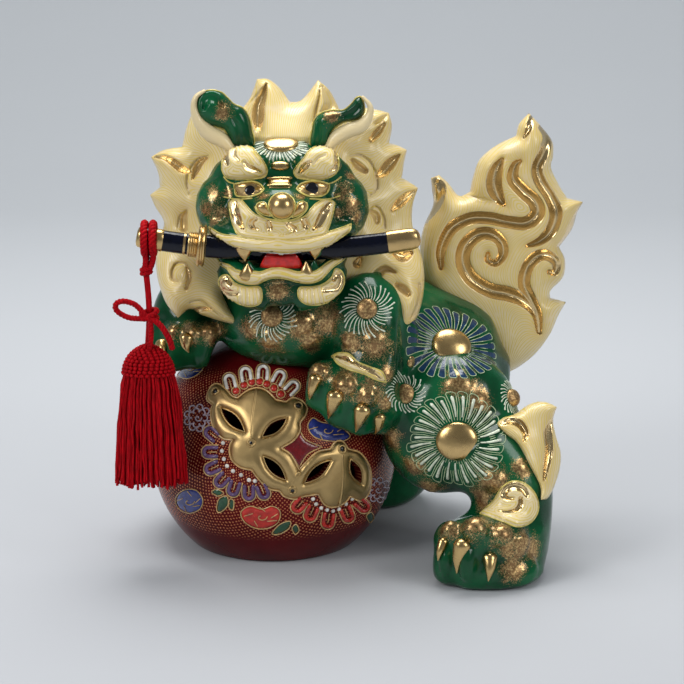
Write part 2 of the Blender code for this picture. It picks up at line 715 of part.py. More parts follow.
MANE_HOLLOWS = (
    (((261, 82, 2), (256, 97, 6), (249, 112, 6), (242, 124, 2)), 3.4),
    (((321, 84, 1.5), (330, 96, 5), (336, 110, 4)), 3.0),
    (((388, 115, 2), (382, 125, 4.5), (371, 138, 2)), 2.8),
    (((404, 153, 2), (392, 163, 6), (377, 176, 2)), 3.2),
    (((415, 190, 2), (404, 198, 4.5), (390, 207, 2)), 2.8),
    (((354, 158, 3), (366, 166, 6), (371, 182, 7), (364, 192, 5)), 3.4),
    (((374, 208, 2), (381, 216, 4.5), (379, 228, 3)), 2.6),
    (((155, 157, 2), (171, 163, 4.5), (189, 171, 2)), 2.8),
    (((207, 160, 3), (199, 173, 6), (193, 186, 5), (189, 195, 2)), 3.2),
    (((151, 197, 1.5), (157, 210, 4), (163, 226, 1.5)), 2.4),
    (((190, 213, 2), (184, 220, 4), (178, 230, 2)), 2.4),
    (((188, 289, 2), (190, 277, 4), (184, 266, 4), (176, 270, 3.5), (174, 281, 3.5), (180, 285, 2.5),
      (182, 279, 2)), 2.8),
    (((192, 304, 2), (207, 307, 4), (224, 314, 3), (236, 322, 1)), 2.8),
    (((393, 269, 1.5), (379, 274, 4.5), (371, 288, 3.5), (371, 299, 1)), 2.8),
    (((360, 258, 2), (358, 264, 4.5)), 2.4),
    (((408, 296, 2), (399, 284, 4), (396, 292, 3.5), (403, 297, 2.5)), 2.4),
    (((415, 272, 1.5), (417, 292, 3.5), (410, 318, 3), (398, 338, 1)), 2.6),
)
# Creases between the locks run in from the notches of the outline
MANE_CREASES = (
    (((288, 100, 3), (286, 116, 4), (284, 134, 2)), 4.5),
    (((342, 112, 3), (334, 123, 4), (328, 138, 2)), 4.5),
    (((243, 107, 3), (239, 119, 4), (237, 134, 2)), 4.5),
    (((390, 143, 3), (377, 150, 4), (362, 157, 2)), 4.5),
    (((403, 178, 3), (389, 183, 4), (370, 190, 2)), 4.5),
    (((412, 220, 3), (397, 222, 4), (380, 226, 2)), 4.0),
    (((424, 262, 3), (405, 256, 4), (384, 250, 2)), 3.5),
    (((182, 148, 3), (194, 154, 4), (208, 158, 2)), 4.5),
    (((160, 187, 3), (174, 190, 4), (190, 197, 2)), 4.5),
    (((164, 222, 3), (176, 226, 4), (192, 232, 2)), 4.0),
    (((157, 256, 3), (172, 250, 4), (190, 247, 2)), 3.5),
    (((190, 309, 3), (196, 294, 4), (208, 278, 2)), 3.5),
    (((393, 304, 3), (391, 288, 4), (386, 272, 2)), 3.5),
    (((222, 292, 3), (213, 280, 3.5), (207, 264, 2)), 3.0),
)


def make_mane(looks):
    bm = bmesh.new()

    def rim_y(flat):
        """The upper locks stand back and the lower ones lie on the chest."""
        return -16.0 - 28.0 * eased((flat[:, 1] - 215.0) / 110.0)

    def front(flat, edge, cut):
        crown = np.exp(-((flat[:, 0] - 283.0) / 40.0) ** 2) * eased((flat[:, 1] - 88.0) / 48.0)
        crown *= 1 - eased((flat[:, 1] - 136.0) / 14.0)
        raised = 9.0 * dome(edge, 14.0) + 16.0 * eased(edge / 62.0) + 8.0 * crown
        return rim_y(flat) - raised + 1.3 * cut * dome(edge, 9.0)

    def back(flat, edge, cut):
        filling = (12.0 - rim_y(flat)) * eased(edge / 60.0)
        return rim_y(flat) + 8.0 * dome(edge, 14.0) + filling - cut * dome(edge, 9.0)

    add_carved_plate(bm, MANE_OUTLINE, MANE_HOLLOWS + MANE_CREASES, front, back, widen=1.35)
    return sculpted("mane", bm, looks["ivory"], 1700, smooth=2, voxel=1.6)


# The sword

def bar(name, stations, material, sides=12, facing=(0, -1, 0)):
    bm = bmesh.new()
    add_loft(bm, stations, facing=facing, sides=sides, steps=1)
    return new_piece(name, bm, material)


def make_sword(looks):
    """Scabbard, its tip and mouth, guard, hilt and pommel, end to end along one arc."""
    gap = JOINT_GAP
    tip_x, mouth_x, guard_x, hilt_x, cap_x = 27.0, -80.0, -85.0, -90.5, -116.0
    end = 46.0
    pieces = [
        bar("scabbard", sword_run(mouth_x, tip_x, SCABBARD_HALF, (4.6, 6.3)), looks["black"]),
        bar("scabbard_tip", [*sword_run(tip_x + gap, end - 5, (4.9, 6.6), (4.7, 6.2), count=2),
                             (end - 1.5, SWORD_Y, sword_height(end - 1.5), 4.6, 3.4),
                             (end, SWORD_Y, sword_height(end), 1.5, 1.2)], looks["gold"]),
        bar("guard", sword_run(guard_x, mouth_x - gap, GUARD_HALF, GUARD_HALF, count=2), looks["gold"],
            sides=20),
        bar("hilt_collar", sword_run(hilt_x, guard_x - gap, (5.6, 6.9), (6.0, 7.4), count=2), looks["gold"]),
        bar("hilt", sword_run(cap_x, hilt_x - gap, HILT_HALF, HILT_HALF, count=4), looks["black"]),
        bar("pommel", [(-120.8, SWORD_Y, sword_height(-120.8), 2.0, 1.5),
                       (-120, SWORD_Y, sword_height(-120), 5.0, 4.0),
                       *sword_run(-119, cap_x - gap, (5.0, 6.3), (5.0, 6.3), count=2)], looks["gold"]),
    ]
    for piece in pieces:
        piece.data.set_sharp_from_angle(angle=math.radians(35))
    return pieces


# The cord and tassel

def make_cord_wrap(looks):
    """Two turns of cord round the hilt, drawn together in a knot below it."""
    bm = bmesh.new()
    z = sword_height(WRAP_X)
    ring = 9.3
    for shift in (-2.4, 2.4):
        turn = []
        for k in range(25):
            a = 2 * math.pi * k / 24
            turn.append((WRAP_X + shift, SWORD_Y + ring * math.sin(a), z + ring * math.cos(a), 2.5, 2.3))
        add_loft(bm, turn, facing=(1, 0, 0), sides=10, steps=1)
    add_loft(bm, ((WRAP_X, SWORD_Y, z - ring + 1.6, 4.6, 3.0), (WRAP_X - 1, SWORD_Y, z - ring - 6, 4.4, 4.2),
                  (TASSEL_X, SWORD_Y, 186, 3.2, 3.2)), sides=12)
    return sculpted("cord_wrap", bm, looks["cord"], 420, smooth=1, voxel=0.9)


def make_cord_stem(looks):
    """The free length of cord from the wrap to the tassel, as one tube."""
    curve = bpy.data.curves.new("cord_stem", "CURVE")
    curve.dimensions = "3D"
    curve.bevel_depth = CORD_RADIUS * MM
    curve.bevel_resolution = 2
    curve.use_fill_caps = True
    top, bottom, count = 185.3, 142.4, 7
    spline = curve.splines.new("POLY")
    spline.points.add(count - 1)
    for k, point in enumerate(spline.points):
        t = k / (count - 1)
        x = TASSEL_X + 1.2 * math.sin(math.pi * t)
        point.co = (x * MM, SWORD_Y * MM, (top + (bottom - top) * t) * MM, 1.0)
    item = bpy.data.objects.new("cord_stem", curve)
    curve.materials.append(looks["cord"])
    bpy.context.scene.collection.objects.link(item)
    return item


def make_bow(looks):
    """The bow tied round the stem: knot, one loop to the left and one loose end to the right."""
    bm = bmesh.new()
    knot = Vector((TASSEL_X + 1.2, SWORD_Y, 162))
    add_blob(bm, knot, (6.2, 5.0, 5.6))
    loop = ((-117, -71, 163, 1.9), (-124, -72, 168, 1.9), (-131, -72, 169, 1.9), (-133.5, -71, 165, 1.9),
            (-127, -70, 161, 1.9), (-117, -71, 158, 1.9))
    add_loft(bm, loop, sides=10)
    loose = ((-112, -72, 160, 2.2), (-106, -75, 155, 2.4), (-102, -75, 147, 2.4), (-100, -75, 142, 2.0))
    add_loft(bm, loose, sides=10)
    bow = sculpted("bow", bm, looks["cord"], 380, smooth=1, voxel=0.9)
    hole = bmesh.new()
    bore = CORD_RADIUS + JOINT_GAP
    bmesh.ops.create_cone(hole, cap_ends=True, segments=12, radius1=bore, radius2=bore, depth=40,
                          matrix=Matrix.Translation(knot))
    cutter = new_piece("bow_bore", hole, looks["cord"])
    boolean(bow, cutter, "DIFFERENCE")
    bpy.data.objects.remove(cutter)
    keep_largest_body(bow)
    return bow


def turned(name, profile, scale_y, material, steps=24):
    """A body of revolution about a vertical axis, flattened in depth by scale_y."""
    bm = bmesh.new()
    edge = [bm.verts.new((r, 0, z)) for r, z in profile]
    edges = [bm.edges.new(pair) for pair in zip(edge, edge[1:])]
    bmesh.ops.spin(bm, geom=edge + edges, cent=(0, 0, 0), axis=(0, 0, 1), angle=2 * math.pi, steps=steps,
                   use_merge=True)
    bmesh.ops.remove_doubles(bm, verts=bm.verts, dist=0.001)
    bmesh.ops.recalc_face_normals(bm, faces=bm.faces[:])
    bmesh.ops.scale(bm, vec=(1, scale_y, 1), verts=bm.verts)
    bmesh.ops.translate(bm, vec=(TASSEL_X, SWORD_Y, 0), verts=bm.verts)
    piece = new_piece(name, bm, material)
    piece.data.set_sharp_from_angle(angle=math.radians(40))
    return piece


def make_tassel(looks):
    flat = 0.6
    cap = ((0, 142), (6, 141), (11, 137), (14.5, 130), (15, 126), (0, 126))
    skirt = ((0, 125.6), (14, 125.6), (17.5, 117), (20, 95), (22.5, 62), (22.5, 57), (0, 57))
    profiles = {"tassel_cap": cap, "tassel_skirt": skirt}
    return [turned(name, profile, flat, looks["cord"]) for name, profile in profiles.items()]


# Assembly

def stand_on_origin(pieces, hanging):
    """Moves everything so that the origin is under the middle of the lion and its sword."""
    bpy.context.view_layer.update()
    rigid = [item for item in pieces if item.name not in hanging]
    corners = [item.matrix_world @ Vector(c) for item in rigid for c in item.bound_box]
    low = Vector([min(c[k] for c in corners) for k in range(3)])
    high = Vector([max(c[k] for c in corners) for k in range(3)])
    figure = bpy.data.objects.new("figure", None)
    bpy.context.scene.collection.objects.link(figure)
    for item in pieces:
        item.parent = figure
    figure.location = (-(low.x + high.x) / 2, -(low.y + high.y) / 2, -low.z)


def main():
    clear_scene()
    looks = make_finishes()
    channel = make_mouth_cutter(looks)
    sword = make_sword(looks)
    guard = sword[2]
    ball = make_ball(looks)
    torso = make_torso(looks)
    seat(torso, ball)
    near_foreleg = make_near_foreleg(looks)
    far_foreleg = make_far_foreleg(looks)
    near_hind = make_near_hind_leg(looks)
    far_hind = make_far_hind_leg(looks)
    for leg in (near_foreleg, far_foreleg, near_hind, far_hind):
        seat(leg, torso, ball)
    seat(near_hind, near_foreleg)
    seat(far_hind, far_foreleg, near_hind)
    head = make_head(looks)
    seat(head, torso)
    seat(head, guard, gap=SWORD_CLEARANCE)
    boolean(head, channel, "DIFFERENCE")
    keep_largest_body(head)
    jaw = make_lower_jaw(looks)
    seat(jaw, torso, head, near_foreleg, far_foreleg)
    boolean(jaw, channel, "DIFFERENCE")
    keep_largest_body(jaw)
    tongue = make_tongue(looks)
    seat(tongue, jaw, head)
    boolean(tongue, channel, "DIFFERENCE")
    keep_largest_body(tongue)
    mane = make_mane(looks)
    seat(mane, torso, head, jaw, near_foreleg, far_foreleg)
    seat(mane, guard, gap=SWORD_CLEARANCE)
    boolean(mane, channel, "DIFFERENCE")
    keep_largest_body(mane)
    ears = [make_ear(name, looks) for name in EARS]
    for ear in ears:
        seat(ear, head, mane)
    tail = make_tail(looks)
    seat(tail, torso, near_hind, far_hind, mane)
    tufts = [make_near_tuft(looks, near_hind), make_far_tuft(looks)]
    seat(tufts[0], near_hind, torso, tail)
    seat(tufts[1], far_hind, torso, tail)
    bpy.data.objects.remove(channel)
    hanging = [make_cord_wrap(looks), make_cord_stem(looks), make_bow(looks), *make_tassel(looks)]
    pieces = [ball, torso, near_foreleg, far_foreleg, near_hind, far_hind, head, jaw, tongue, mane, *ears,
              tail, *tufts, *sword, *hanging]
    stand_on_origin(pieces, {item.name for item in hanging})


main()
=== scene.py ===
"""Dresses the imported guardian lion: glaze, gilding, carved hair, raised flowers, ball, sword and tassel.

Lengths are in millimetres in the sculptor's frame, whose zero lies on the table under the camera's
line of sight.
Small details are placed by the photograph's pixels and laid on the surface that carries them.
"""

from math import asin, cos, pi, radians, sin, sqrt, tau

import bmesh
import bpy
import numpy as np
from bpy.props import FloatProperty, FloatVectorProperty, IntProperty, PointerProperty
from mathutils import Matrix, Vector
from mathutils.bvhtree import BVHTree
from mathutils.geometry import delaunay_2d_cdt
from numpy.linalg import norm


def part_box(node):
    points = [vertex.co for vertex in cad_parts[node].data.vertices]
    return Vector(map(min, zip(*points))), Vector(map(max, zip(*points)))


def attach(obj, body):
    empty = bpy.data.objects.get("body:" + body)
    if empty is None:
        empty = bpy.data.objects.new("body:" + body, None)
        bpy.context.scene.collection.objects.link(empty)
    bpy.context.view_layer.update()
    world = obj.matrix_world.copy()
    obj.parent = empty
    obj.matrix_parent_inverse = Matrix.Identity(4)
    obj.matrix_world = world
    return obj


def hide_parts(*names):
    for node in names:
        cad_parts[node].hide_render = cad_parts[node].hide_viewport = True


bl_info = {
    "name": "Guardian lion with sword and tassel",
    "version": (1, 0, 0),
    "blender": (4, 5, 0),
    "location": "3D View > Sidebar > Lion",
    "description": "Dresses the packed lion in glaze, gilding, carved hair, raised flowers and silk",
    "category": "Object",
}

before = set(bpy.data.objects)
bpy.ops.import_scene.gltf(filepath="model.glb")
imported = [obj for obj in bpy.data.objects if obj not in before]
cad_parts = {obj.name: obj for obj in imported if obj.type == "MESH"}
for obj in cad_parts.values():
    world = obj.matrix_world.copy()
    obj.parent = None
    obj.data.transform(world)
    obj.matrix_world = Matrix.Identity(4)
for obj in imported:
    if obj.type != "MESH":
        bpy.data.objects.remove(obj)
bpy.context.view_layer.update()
MM = 0.001

# The ball's middle in the sculptor's frame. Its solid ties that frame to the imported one.
BALL_CENTRE = np.array((-43.0, 0.0, 56.0))
BALL_LOW, BALL_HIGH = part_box("ball")
ORIGIN = np.array(((BALL_LOW.x + BALL_HIGH.x) / 2, (BALL_LOW.y + BALL_HIGH.y) / 2, 0.0))
ORIGIN[:2] -= BALL_CENTRE[:2] * MM
BALL_RADIUS = 77.0
BALL_WALL = 6.0
# The ball's dotted ground: the point that its rows circle, their spacing in millimetres, the dots in a row
# and how far they stray
DOT_POLE = (0.05, -0.88, 0.47)
DOT_ROW = 2.8
DOTS_ROUND = 112.0
DOT_WANDER = 5.0
# Heights between which the ball is dotted
DOTS_FOOT, DOTS_TOP = 18, 112

# The photograph's camera
FRAME_PIXELS = 684
PIXEL = 0.625
VIEW_DISTANCE = 1500.0
VIEW_TILT = radians(15)
AIM = np.array((0.0, 0.0, 126.0))
EYE = AIM + VIEW_DISTANCE * np.array((0.0, -cos(VIEW_TILT), sin(VIEW_TILT)))
AHEAD = (AIM - EYE) / VIEW_DISTANCE
RIGHT = np.array((1.0, 0.0, 0.0))
UPWARD = np.cross(RIGHT, AHEAD)


# Lines of sight, smooth lines and flat fills

def sight(px, py):
    """Unit direction from the camera through a pixel."""
    px, py = np.asarray(px, float), np.asarray(py, float)
    half = FRAME_PIXELS / 2
    across = (px - half)[..., None] * PIXEL * RIGHT
    up = (half - py)[..., None] * PIXEL * UPWARD
    ray = AHEAD * VIEW_DISTANCE + across + up
    return ray / norm(ray, axis=-1, keepdims=True)


def on_depth(px, py, depth):
    """The point behind a pixel where Y equals depth."""
    ray = sight(px, py)
    reach = (np.asarray(depth, float) - EYE[1]) / ray[..., 1]
    return EYE + ray * reach[..., None]


def spline(points, steps=6):
    """A Catmull-Rom curve through rows of numbers."""
    rows = np.array(points, float)
    rows = np.vstack((2 * rows[0] - rows[1], rows, 2 * rows[-1] - rows[-2]))
    return np.vstack((_spans(rows, steps), rows[-2:-1]))


def _spans(rows, steps):
    t = (np.arange(steps) / steps)[:, None]
    found = []
    for a, b, c, d in zip(rows, rows[1:], rows[2:], rows[3:]):
        found.append(0.5 * (2 * b + (c - a) * t + (2 * a - 5 * b + 4 * c - d) * t ** 2
                            + (3 * b - a - 3 * c + d) * t ** 3))
    return np.vstack(found)


def outline(points, steps=6):
    """A closed smooth line through (x, y) points. A point with a third value is a sharp corner."""
    plain = [np.array(p[:2], float) for p in points]
    sharp = [k for k, p in enumerate(points) if len(p) > 2]
    n = len(plain)
    if not sharp:
        return _spans(np.array([plain[k % n] for k in range(-1, n + 2)]), steps)
    runs = []
    for a, b in zip(sharp, [*sharp[1:], sharp[0] + n]):
        runs.append(spline([plain[k % n] for k in range(a, b + 1)], steps)[:-1])
    return np.vstack(runs)


def turns(count, closed=False):
    """Angles round a circle, where closed with the first again at the end."""
    return np.linspace(0, tau, count, endpoint=closed)


def looped(line):
    """A closed line with its first point again at the end."""
    return np.vstack((line, line[:1]))


def evenly(line, gap, closed=True):
    """The same line with points about gap apart."""
    line = looped(line) if closed else np.asarray(line)
    run = np.concatenate(([0], np.cumsum(norm(np.diff(line, axis=0), axis=1))))
    count = max(3, int(round(run[-1] / gap)))
    at = np.linspace(0, run[-1], count + 1)
    if closed:
        at = at[:-1]
    return np.stack([np.interp(at, run, line[:, k]) for k in range(line.shape[1])], axis=1)


def away_from(points, line, closed=False):
    """Distance of each point from a line in the same plane."""
    a = np.asarray(line, float)
    b = np.roll(a, -1, axis=0) if closed else a[1:]
    a = a if closed else a[:-1]
    best = np.full(len(points), 1e9)
    for p, q in zip(a, b):
        along = q - p
        t = np.clip(((points - p) @ along) / max(along @ along, 1e-12), 0, 1)
        best = np.minimum(best, norm(points - p - t[:, None] * along, axis=1))
    return best


def within(points, loop):
    """Which points lie inside a closed loop."""
    inside = np.zeros(len(points), bool)
    for (x0, y0), (x1, y1) in zip(loop, np.roll(loop, -1, axis=0)):
        crosses = (y0 > points[:, 1]) != (y1 > points[:, 1])
        inside ^= crosses & (points[:, 0] < (x1 - x0) * (points[:, 1] - y0) / (y1 - y0 + 1e-12) + x0)
    return inside


def filled(loop, gap, holes=()):
    """Triangles inside a loop, points about gap apart. Returns points, triangles and the rim's length."""
    loops = [evenly(loop, gap), *(evenly(h, gap) for h in holes)]
    low, high = loops[0].min(0), loops[0].max(0)
    xs = np.arange(low[0], high[0], gap)
    ys = np.arange(low[1], high[1], gap * 0.87)
    grid = np.array([(x + (k % 2) * gap / 2, y) for k, y in enumerate(ys) for x in xs])
    keep = within(grid, loops[0])
    for k, ring in enumerate(loops):
        keep &= away_from(grid, ring, True) > gap * 0.55
        if k:
            keep &= ~within(grid, ring)
    corners = np.vstack((*loops, grid[keep]))
    edges, base = [], 0
    for ring in loops:
        edges += [(base + k, base + (k + 1) % len(ring)) for k in range(len(ring))]
        base += len(ring)
    points, _, faces, *_ = delaunay_2d_cdt([Vector(c) for c in corners], edges, [], 0, 1e-5)
    points = np.array([tuple(p) for p in points])
    middles = np.array([points[list(f)].mean(0) for f in faces])
    good = within(middles, loops[0])
    for ring in loops[1:]:
        good &= ~within(middles, ring)
    return points, [tuple(f) for f, g in zip(faces, good) if g], base


def wound(flat, faces, way):
    """Flat triangles, all turned the same way round."""
    def area(f):
        return np.cross(flat[f[1]] - flat[f[0]], flat[f[2]] - flat[f[0]])

    return [f if way * area(f) > 0 else f[::-1] for f in faces]


def track(points, groove):
    """Distance from a carved groove of (x, y, half width) stations: in half widths, and as it is."""
    stations = spline(groove, 8)
    near = np.full(len(points), 1e9)
    plain = np.full(len(points), 1e9)
    for x, y, half in stations:
        d = np.hypot(points[:, 0] - x, points[:, 1] - y)
        near = np.minimum(near, d / max(half, 0.3))
        plain = np.minimum(plain, d)
    return near, plain


# Meshes, gathered in the sculptor's frame

# Rings in the round end of a tube
CAP_RINGS = 4


class Clay:
    """Gathers shapes in millimetres, with layers of values at their points, and makes one piece of them."""

    def __init__(self):
        self.points, self.faces, self.layers, self.count = [], [], {}, 0

    def add(self, points, faces, **layers):
        points = np.asarray(points, float).reshape(-1, 3)
        self.points.append(points)
        self.faces += [tuple(k + self.count for k in f) for f in faces]
        for name in set(self.layers) | set(layers):
            store = self.layers.setdefault(name, [np.zeros(self.count)] if self.count else [])
            value = layers.get(name, 0.0)
            store.append(np.broadcast_to(np.asarray(value, float), (len(points),)).copy())
        self.count += len(points)

    def mesh(self, name):
        mesh = bpy.data.meshes.new(name)
        points = np.vstack(self.points) * MM + ORIGIN
        mesh.from_pydata(points.tolist(), [], self.faces)
        for key, parts in self.layers.items():
            write_layer(mesh, key, np.concatenate(parts))
        mesh.update()
        mesh.shade_smooth()
        return mesh

    def hand_over(self, name, look, body, slot, *nodes):
        return hand_over(self.piece(name, look), body, slot, *nodes)

    def piece(self, name, look):
        return piece_from(self.mesh(name), name, get_finish(look))


def placed(name, data):
    """A new object in the scene."""
    item = bpy.data.objects.new(name, data)
    bpy.context.scene.collection.objects.link(item)
    return item


def piece_from(mesh, name, material):
    mesh.materials.clear()
    mesh.materials.append(material)
    return placed(name, mesh)


def hand_over(item, body, slot, *nodes):
    """Ties a finished piece to its body and hides the solids that it stands for."""
    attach(item, body)
    if nodes:
        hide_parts(*nodes)
    return item


def rings(clay, rows, **layers):
    """Joins rings of equal length into a skin, closed at both ends."""
    count, sides = len(rows), len(rows[0])
    points = np.vstack(rows)
    faces = []
    for i in range(count - 1):
        for k in range(sides):
            n = (k + 1) % sides
            faces.append((i * sides + k, i * sides + n, (i + 1) * sides + n, (i + 1) * sides + k))
    faces.append(tuple(reversed(range(sides))))
    faces.append(tuple(range((count - 1) * sides, count * sides)))
    clay.add(points, faces, **layers)


def loft(clay, stations, facing=(0, -1, 0), sides=20, steps=6, **layers):
    """A round-ended tube of oval sections. A station is (x, y, z, half width, half depth)."""
    rows = spline([s if len(s) == 5 else (*s, s[3]) for s in stations], steps)
    ahead = np.gradient(rows[:, :3], axis=0)
    ahead /= norm(ahead, axis=1, keepdims=True)
    caps = [cos(pi / 2 * k / CAP_RINGS) for k in range(1, CAP_RINGS)] + [0.02]
    order = [*((0, c) for c in reversed(caps)), *((i, 1.0) for i in range(len(rows))),
             *((len(rows) - 1, c) for c in caps)]
    c, s = np.cos(turns(sides))[:, None], np.sin(turns(sides))[:, None]
    facing = np.array(facing, float)
    skins = []
    for place, (i, shrink) in enumerate(order):
        deep = facing - ahead[i] * (ahead[i] @ facing)
        deep /= norm(deep)
        wide = np.cross(deep, ahead[i])
        half, depth = max(rows[i, 3], 0.2), max(rows[i, 4], 0.2)
        out = sqrt(1 - shrink ** 2) * min(half, depth) if shrink < 1 else 0.0
        middle = rows[i, :3] + ahead[i] * out * (-1 if place < CAP_RINGS else 1)
        skins.append(middle + c * wide * half * shrink + s * deep * depth * shrink)
    rings(clay, skins, **layers)


def line_frames(line):
    """The directions along a line in space, and pairs of directions across it that don't twist."""
    ahead = np.gradient(line, axis=0)
    ahead /= np.maximum(norm(ahead, axis=1, keepdims=True), 1e-9)
    side = np.cross(ahead[0], (0.31, 0.24, 0.92))
    across = []
    for way in ahead:
        side = side - way * (side @ way)
        side /= norm(side)
        across.append((side, np.cross(way, side)))
    return ahead, across


def tube(clay, line, radius, sides=8):
    """A thin round stroke along a line in space, with blunt ends."""
    line = np.asarray(line, float)
    radius = np.broadcast_to(np.asarray(radius, float), (len(line),))
    ahead, across = line_frames(line)
    c, s = np.cos(turns(sides))[:, None], np.sin(turns(sides))[:, None]
    skins = [p + r * (c * side + s * other) for p, r, (side, other) in zip(line, radius, across)]
    first, last = [line[k] + way * ahead[k] * radius[k] * 0.7 + (skins[k] - line[k]) * 0.45
                   for k, way in ((0, -1), (-1, 1))]
    rings(clay, [first, *skins, last])


def rope(clay, line, radius, pitch, strands=3, sides=7):
    """Twisted strands round a line."""
    run = norm(np.diff(line, axis=0), axis=1).sum()
    fine = evenly(line, pitch / 10, closed=False)
    angle = np.linspace(0, tau * run / pitch, len(fine))
    across = line_frames(fine)[1]
    for k in range(strands):
        twist = angle + tau * k / strands
        path = [p + radius * 0.48 * (cos(w) * u + sin(w) * v) for p, w, (u, v) in zip(fine, twist, across)]
        tube(clay, path, radius * 0.54, sides)


def ball_shape(clay, centre, axes, sides=24, low=-1.0):
    """An ellipsoid with its three half axes given as rows, cut off below low along the last."""
    axes = np.asarray(axes, float)
    start = asin(max(-0.999, low))
    climbs = np.linspace(start, pi / 2 - 0.02, max(6, sides // 2))
    c, s = np.cos(turns(sides))[:, None], np.sin(turns(sides))[:, None]
    skins = [np.asarray(centre) + cos(e) * (c * axes[0] + s * axes[1]) + sin(e) * axes[2] for e in climbs]
    rings(clay, skins)


def facing_axes(normal):
    """Two directions in the plane across a normal, the second as upright as it can be, and the normal."""
    normal = np.asarray(normal, float) / norm(normal)
    up = np.array((0.0, 0.0, 1.0)) - normal * normal[2]
    up /= norm(up)
    return np.cross(up, normal), up, normal


class Carrier:
    """A surface that details are laid on along the camera's lines of sight."""

    def __init__(self, *items):
        points, faces = [], []
        for item in items:
            base = len(points)
            points += mesh_points(item.data).tolist()
            faces += [tuple(v + base for v in p.vertices) for p in item.data.polygons]
        self.tree = BVHTree.FromPolygons(points, faces)
        self.middle = float(np.mean([p[1] for p in points]))

    def seen(self, px, py):
        """Point and outward normal under a pixel, or None."""
        place, normal, *_ = self.tree.ray_cast(Vector(EYE), Vector(sight(px, py)))
        return None if place is None else (np.array(place), np.array(normal))

    def spot(self, px, py):
        found = self.seen(px, py)
        if found is None:
            raise RuntimeError(f"no surface under pixel {px}, {py}")
        return found

    def laid(self, pixels):
        """Points and normals under many pixels. A pixel past the surface's edge is drawn in to that edge."""
        found = [self.seen(*p[:2]) for p in pixels]
        hits = [k for k, f in enumerate(found) if f is not None]
        flat = np.array([p[:2] for p in pixels], float)
        for k, f in enumerate(found):
            if f is None:
                depth = self.middle
                if hits:
                    depth = found[hits[int(np.argmin(norm(flat[hits] - flat[k], axis=1)))]][0][1]
                place, normal, *_ = self.tree.find_nearest(Vector(on_depth(*flat[k], depth)))
                found[k] = (np.array(place), np.array(normal))
        return np.array([f[0] for f in found]), np.array([f[1] for f in found])

    def level(self, points):
        """The nearest points on the surface, and the normals there."""
        near = [self.tree.find_nearest(Vector(p)) for p in points]
        return np.array([n[0] for n in near]), np.array([n[1] for n in near])


def eased(x):
    x = np.clip(x, 0, 1)
    return x * x * (3 - 2 * x)


def gouge(near):
    """The soft bowl of a carved hollow, from 1 on its middle line to 0 at its lip."""
    return np.clip(1 - near ** 2, 0, 1) ** 1.2


def evened(values, faces, fixed, rounds):
    """Values on a mesh's points, averaged with their neighbours, apart from the fixed points."""
    pairs = np.array([(f[k], f[k - 1]) for f in faces for k in range(3)])
    a, b = np.vstack((pairs, pairs[:, ::-1])).T
    count = np.maximum(np.bincount(a, minlength=len(values)), 1)
    for _ in range(rounds):
        mean = np.bincount(a, values[b], minlength=len(values)) / count
        values = np.where(fixed, values, mean)
    return values


def overlay(clay, carrier, loop, height, rim, gap=1.6, holes=(), grooves=(), hole_lip=0.0, edge=None):
    """A raised patch on a surface, rounded at its rim, with carved grooves.

    A groove is (stations, depth, gilt). Sizes across the patch are in pixels, heights in millimetres.
    Where edge is given, a fine raised line is drawn round the rim into it.
    """
    if edge is not None:
        rim_line(edge, carrier, loop, 0.25, 0.5)
    flat, faces, _ = filled(loop, gap, holes)
    inset = away_from(flat, loop, True)
    ring = inset
    for hole in holes:
        ring = np.minimum(ring, away_from(flat, hole, True))
    place, normal = carrier.laid(flat)
    swell = np.sqrt(np.clip(1 - (1 - np.clip(ring / rim, 0, 1)) ** 2, 0, 1))
    lift = height * swell - 0.35 * (ring < 0.01)
    gilt = np.zeros(len(flat))
    flow = inset.copy()
    for stations, depth, gold in grooves:
        near, plain = track(flat, stations)
        lift -= depth * gouge(near / 1.25) * swell
        gilt = np.maximum(gilt, gold * eased((1.4 - near) / 0.4))
        flow = np.minimum(flow, plain)
    for hole in holes:
        lift += hole_lip * np.exp(-(away_from(flat, hole, True) / (rim * 0.8)) ** 2) * swell
    toward = normal + 0.6 * -sight(flat[:, 0], flat[:, 1])
    toward /= norm(toward, axis=1, keepdims=True)
    faces = wound(flat, faces, -1)
    clay.add(place + toward * lift[:, None], faces, gilt=gilt, flow=flow * PIXEL)


def rim_line(clay, carrier, loop, lift, radius, sides=6):
    """A fine raised line round a closed loop of pixels."""
    place, normal = carrier.laid(looped(loop))
    tube(clay, place + normal * lift, radius, sides)


def stroke(clay, carrier, pixels, radius, lift=0.2, steps=5):
    """A thin raised line on a surface through pixels."""
    line = spline(pixels, steps)
    place, normal = carrier.laid(line)
    tube(clay, place + normal * lift, radius, 6)


def stud(clay, carrier, px, py, radius, height, stretch=1.0, low=-0.3):
    """A dome on a surface under a pixel."""
    place, normal = carrier.spot(px, py)
    a, b, n = facing_axes(normal)
    ball_shape(clay, place, (a * radius * stretch, b * radius, n * height), low=low)


# Materials

def node(tree, kind, inputs=None, **settings):
    made = tree.nodes.new(kind)
    for key, value in settings.items():
        setattr(made, key, value)
    for key, value in (inputs or {}).items():
        if isinstance(value, bpy.types.NodeSocket):
            tree.links.new(value, made.inputs[key])
        else:
            made.inputs[key].default_value = value
    return made


def math_node(tree, operation, a, b=0.0, clamp=False):
    return node(tree, "ShaderNodeMath", {0: a, 1: b}, operation=operation, use_clamp=clamp).outputs[0]


def times(tree, a, b, clamp=False):
    return math_node(tree, "MULTIPLY", a, b, clamp)


def plus(tree, a, b):
    return math_node(tree, "ADD", a, b)


def less(tree, a, b):
    return math_node(tree, "SUBTRACT", a, b)


def ramp(tree, value, low, high):
    """Zero below low, one above high, smooth between."""
    made = node(tree, "ShaderNodeMapRange", {"Value": value, "From Min": low, "From Max": high},
                interpolation_type="SMOOTHSTEP")
    return made.outputs[0]


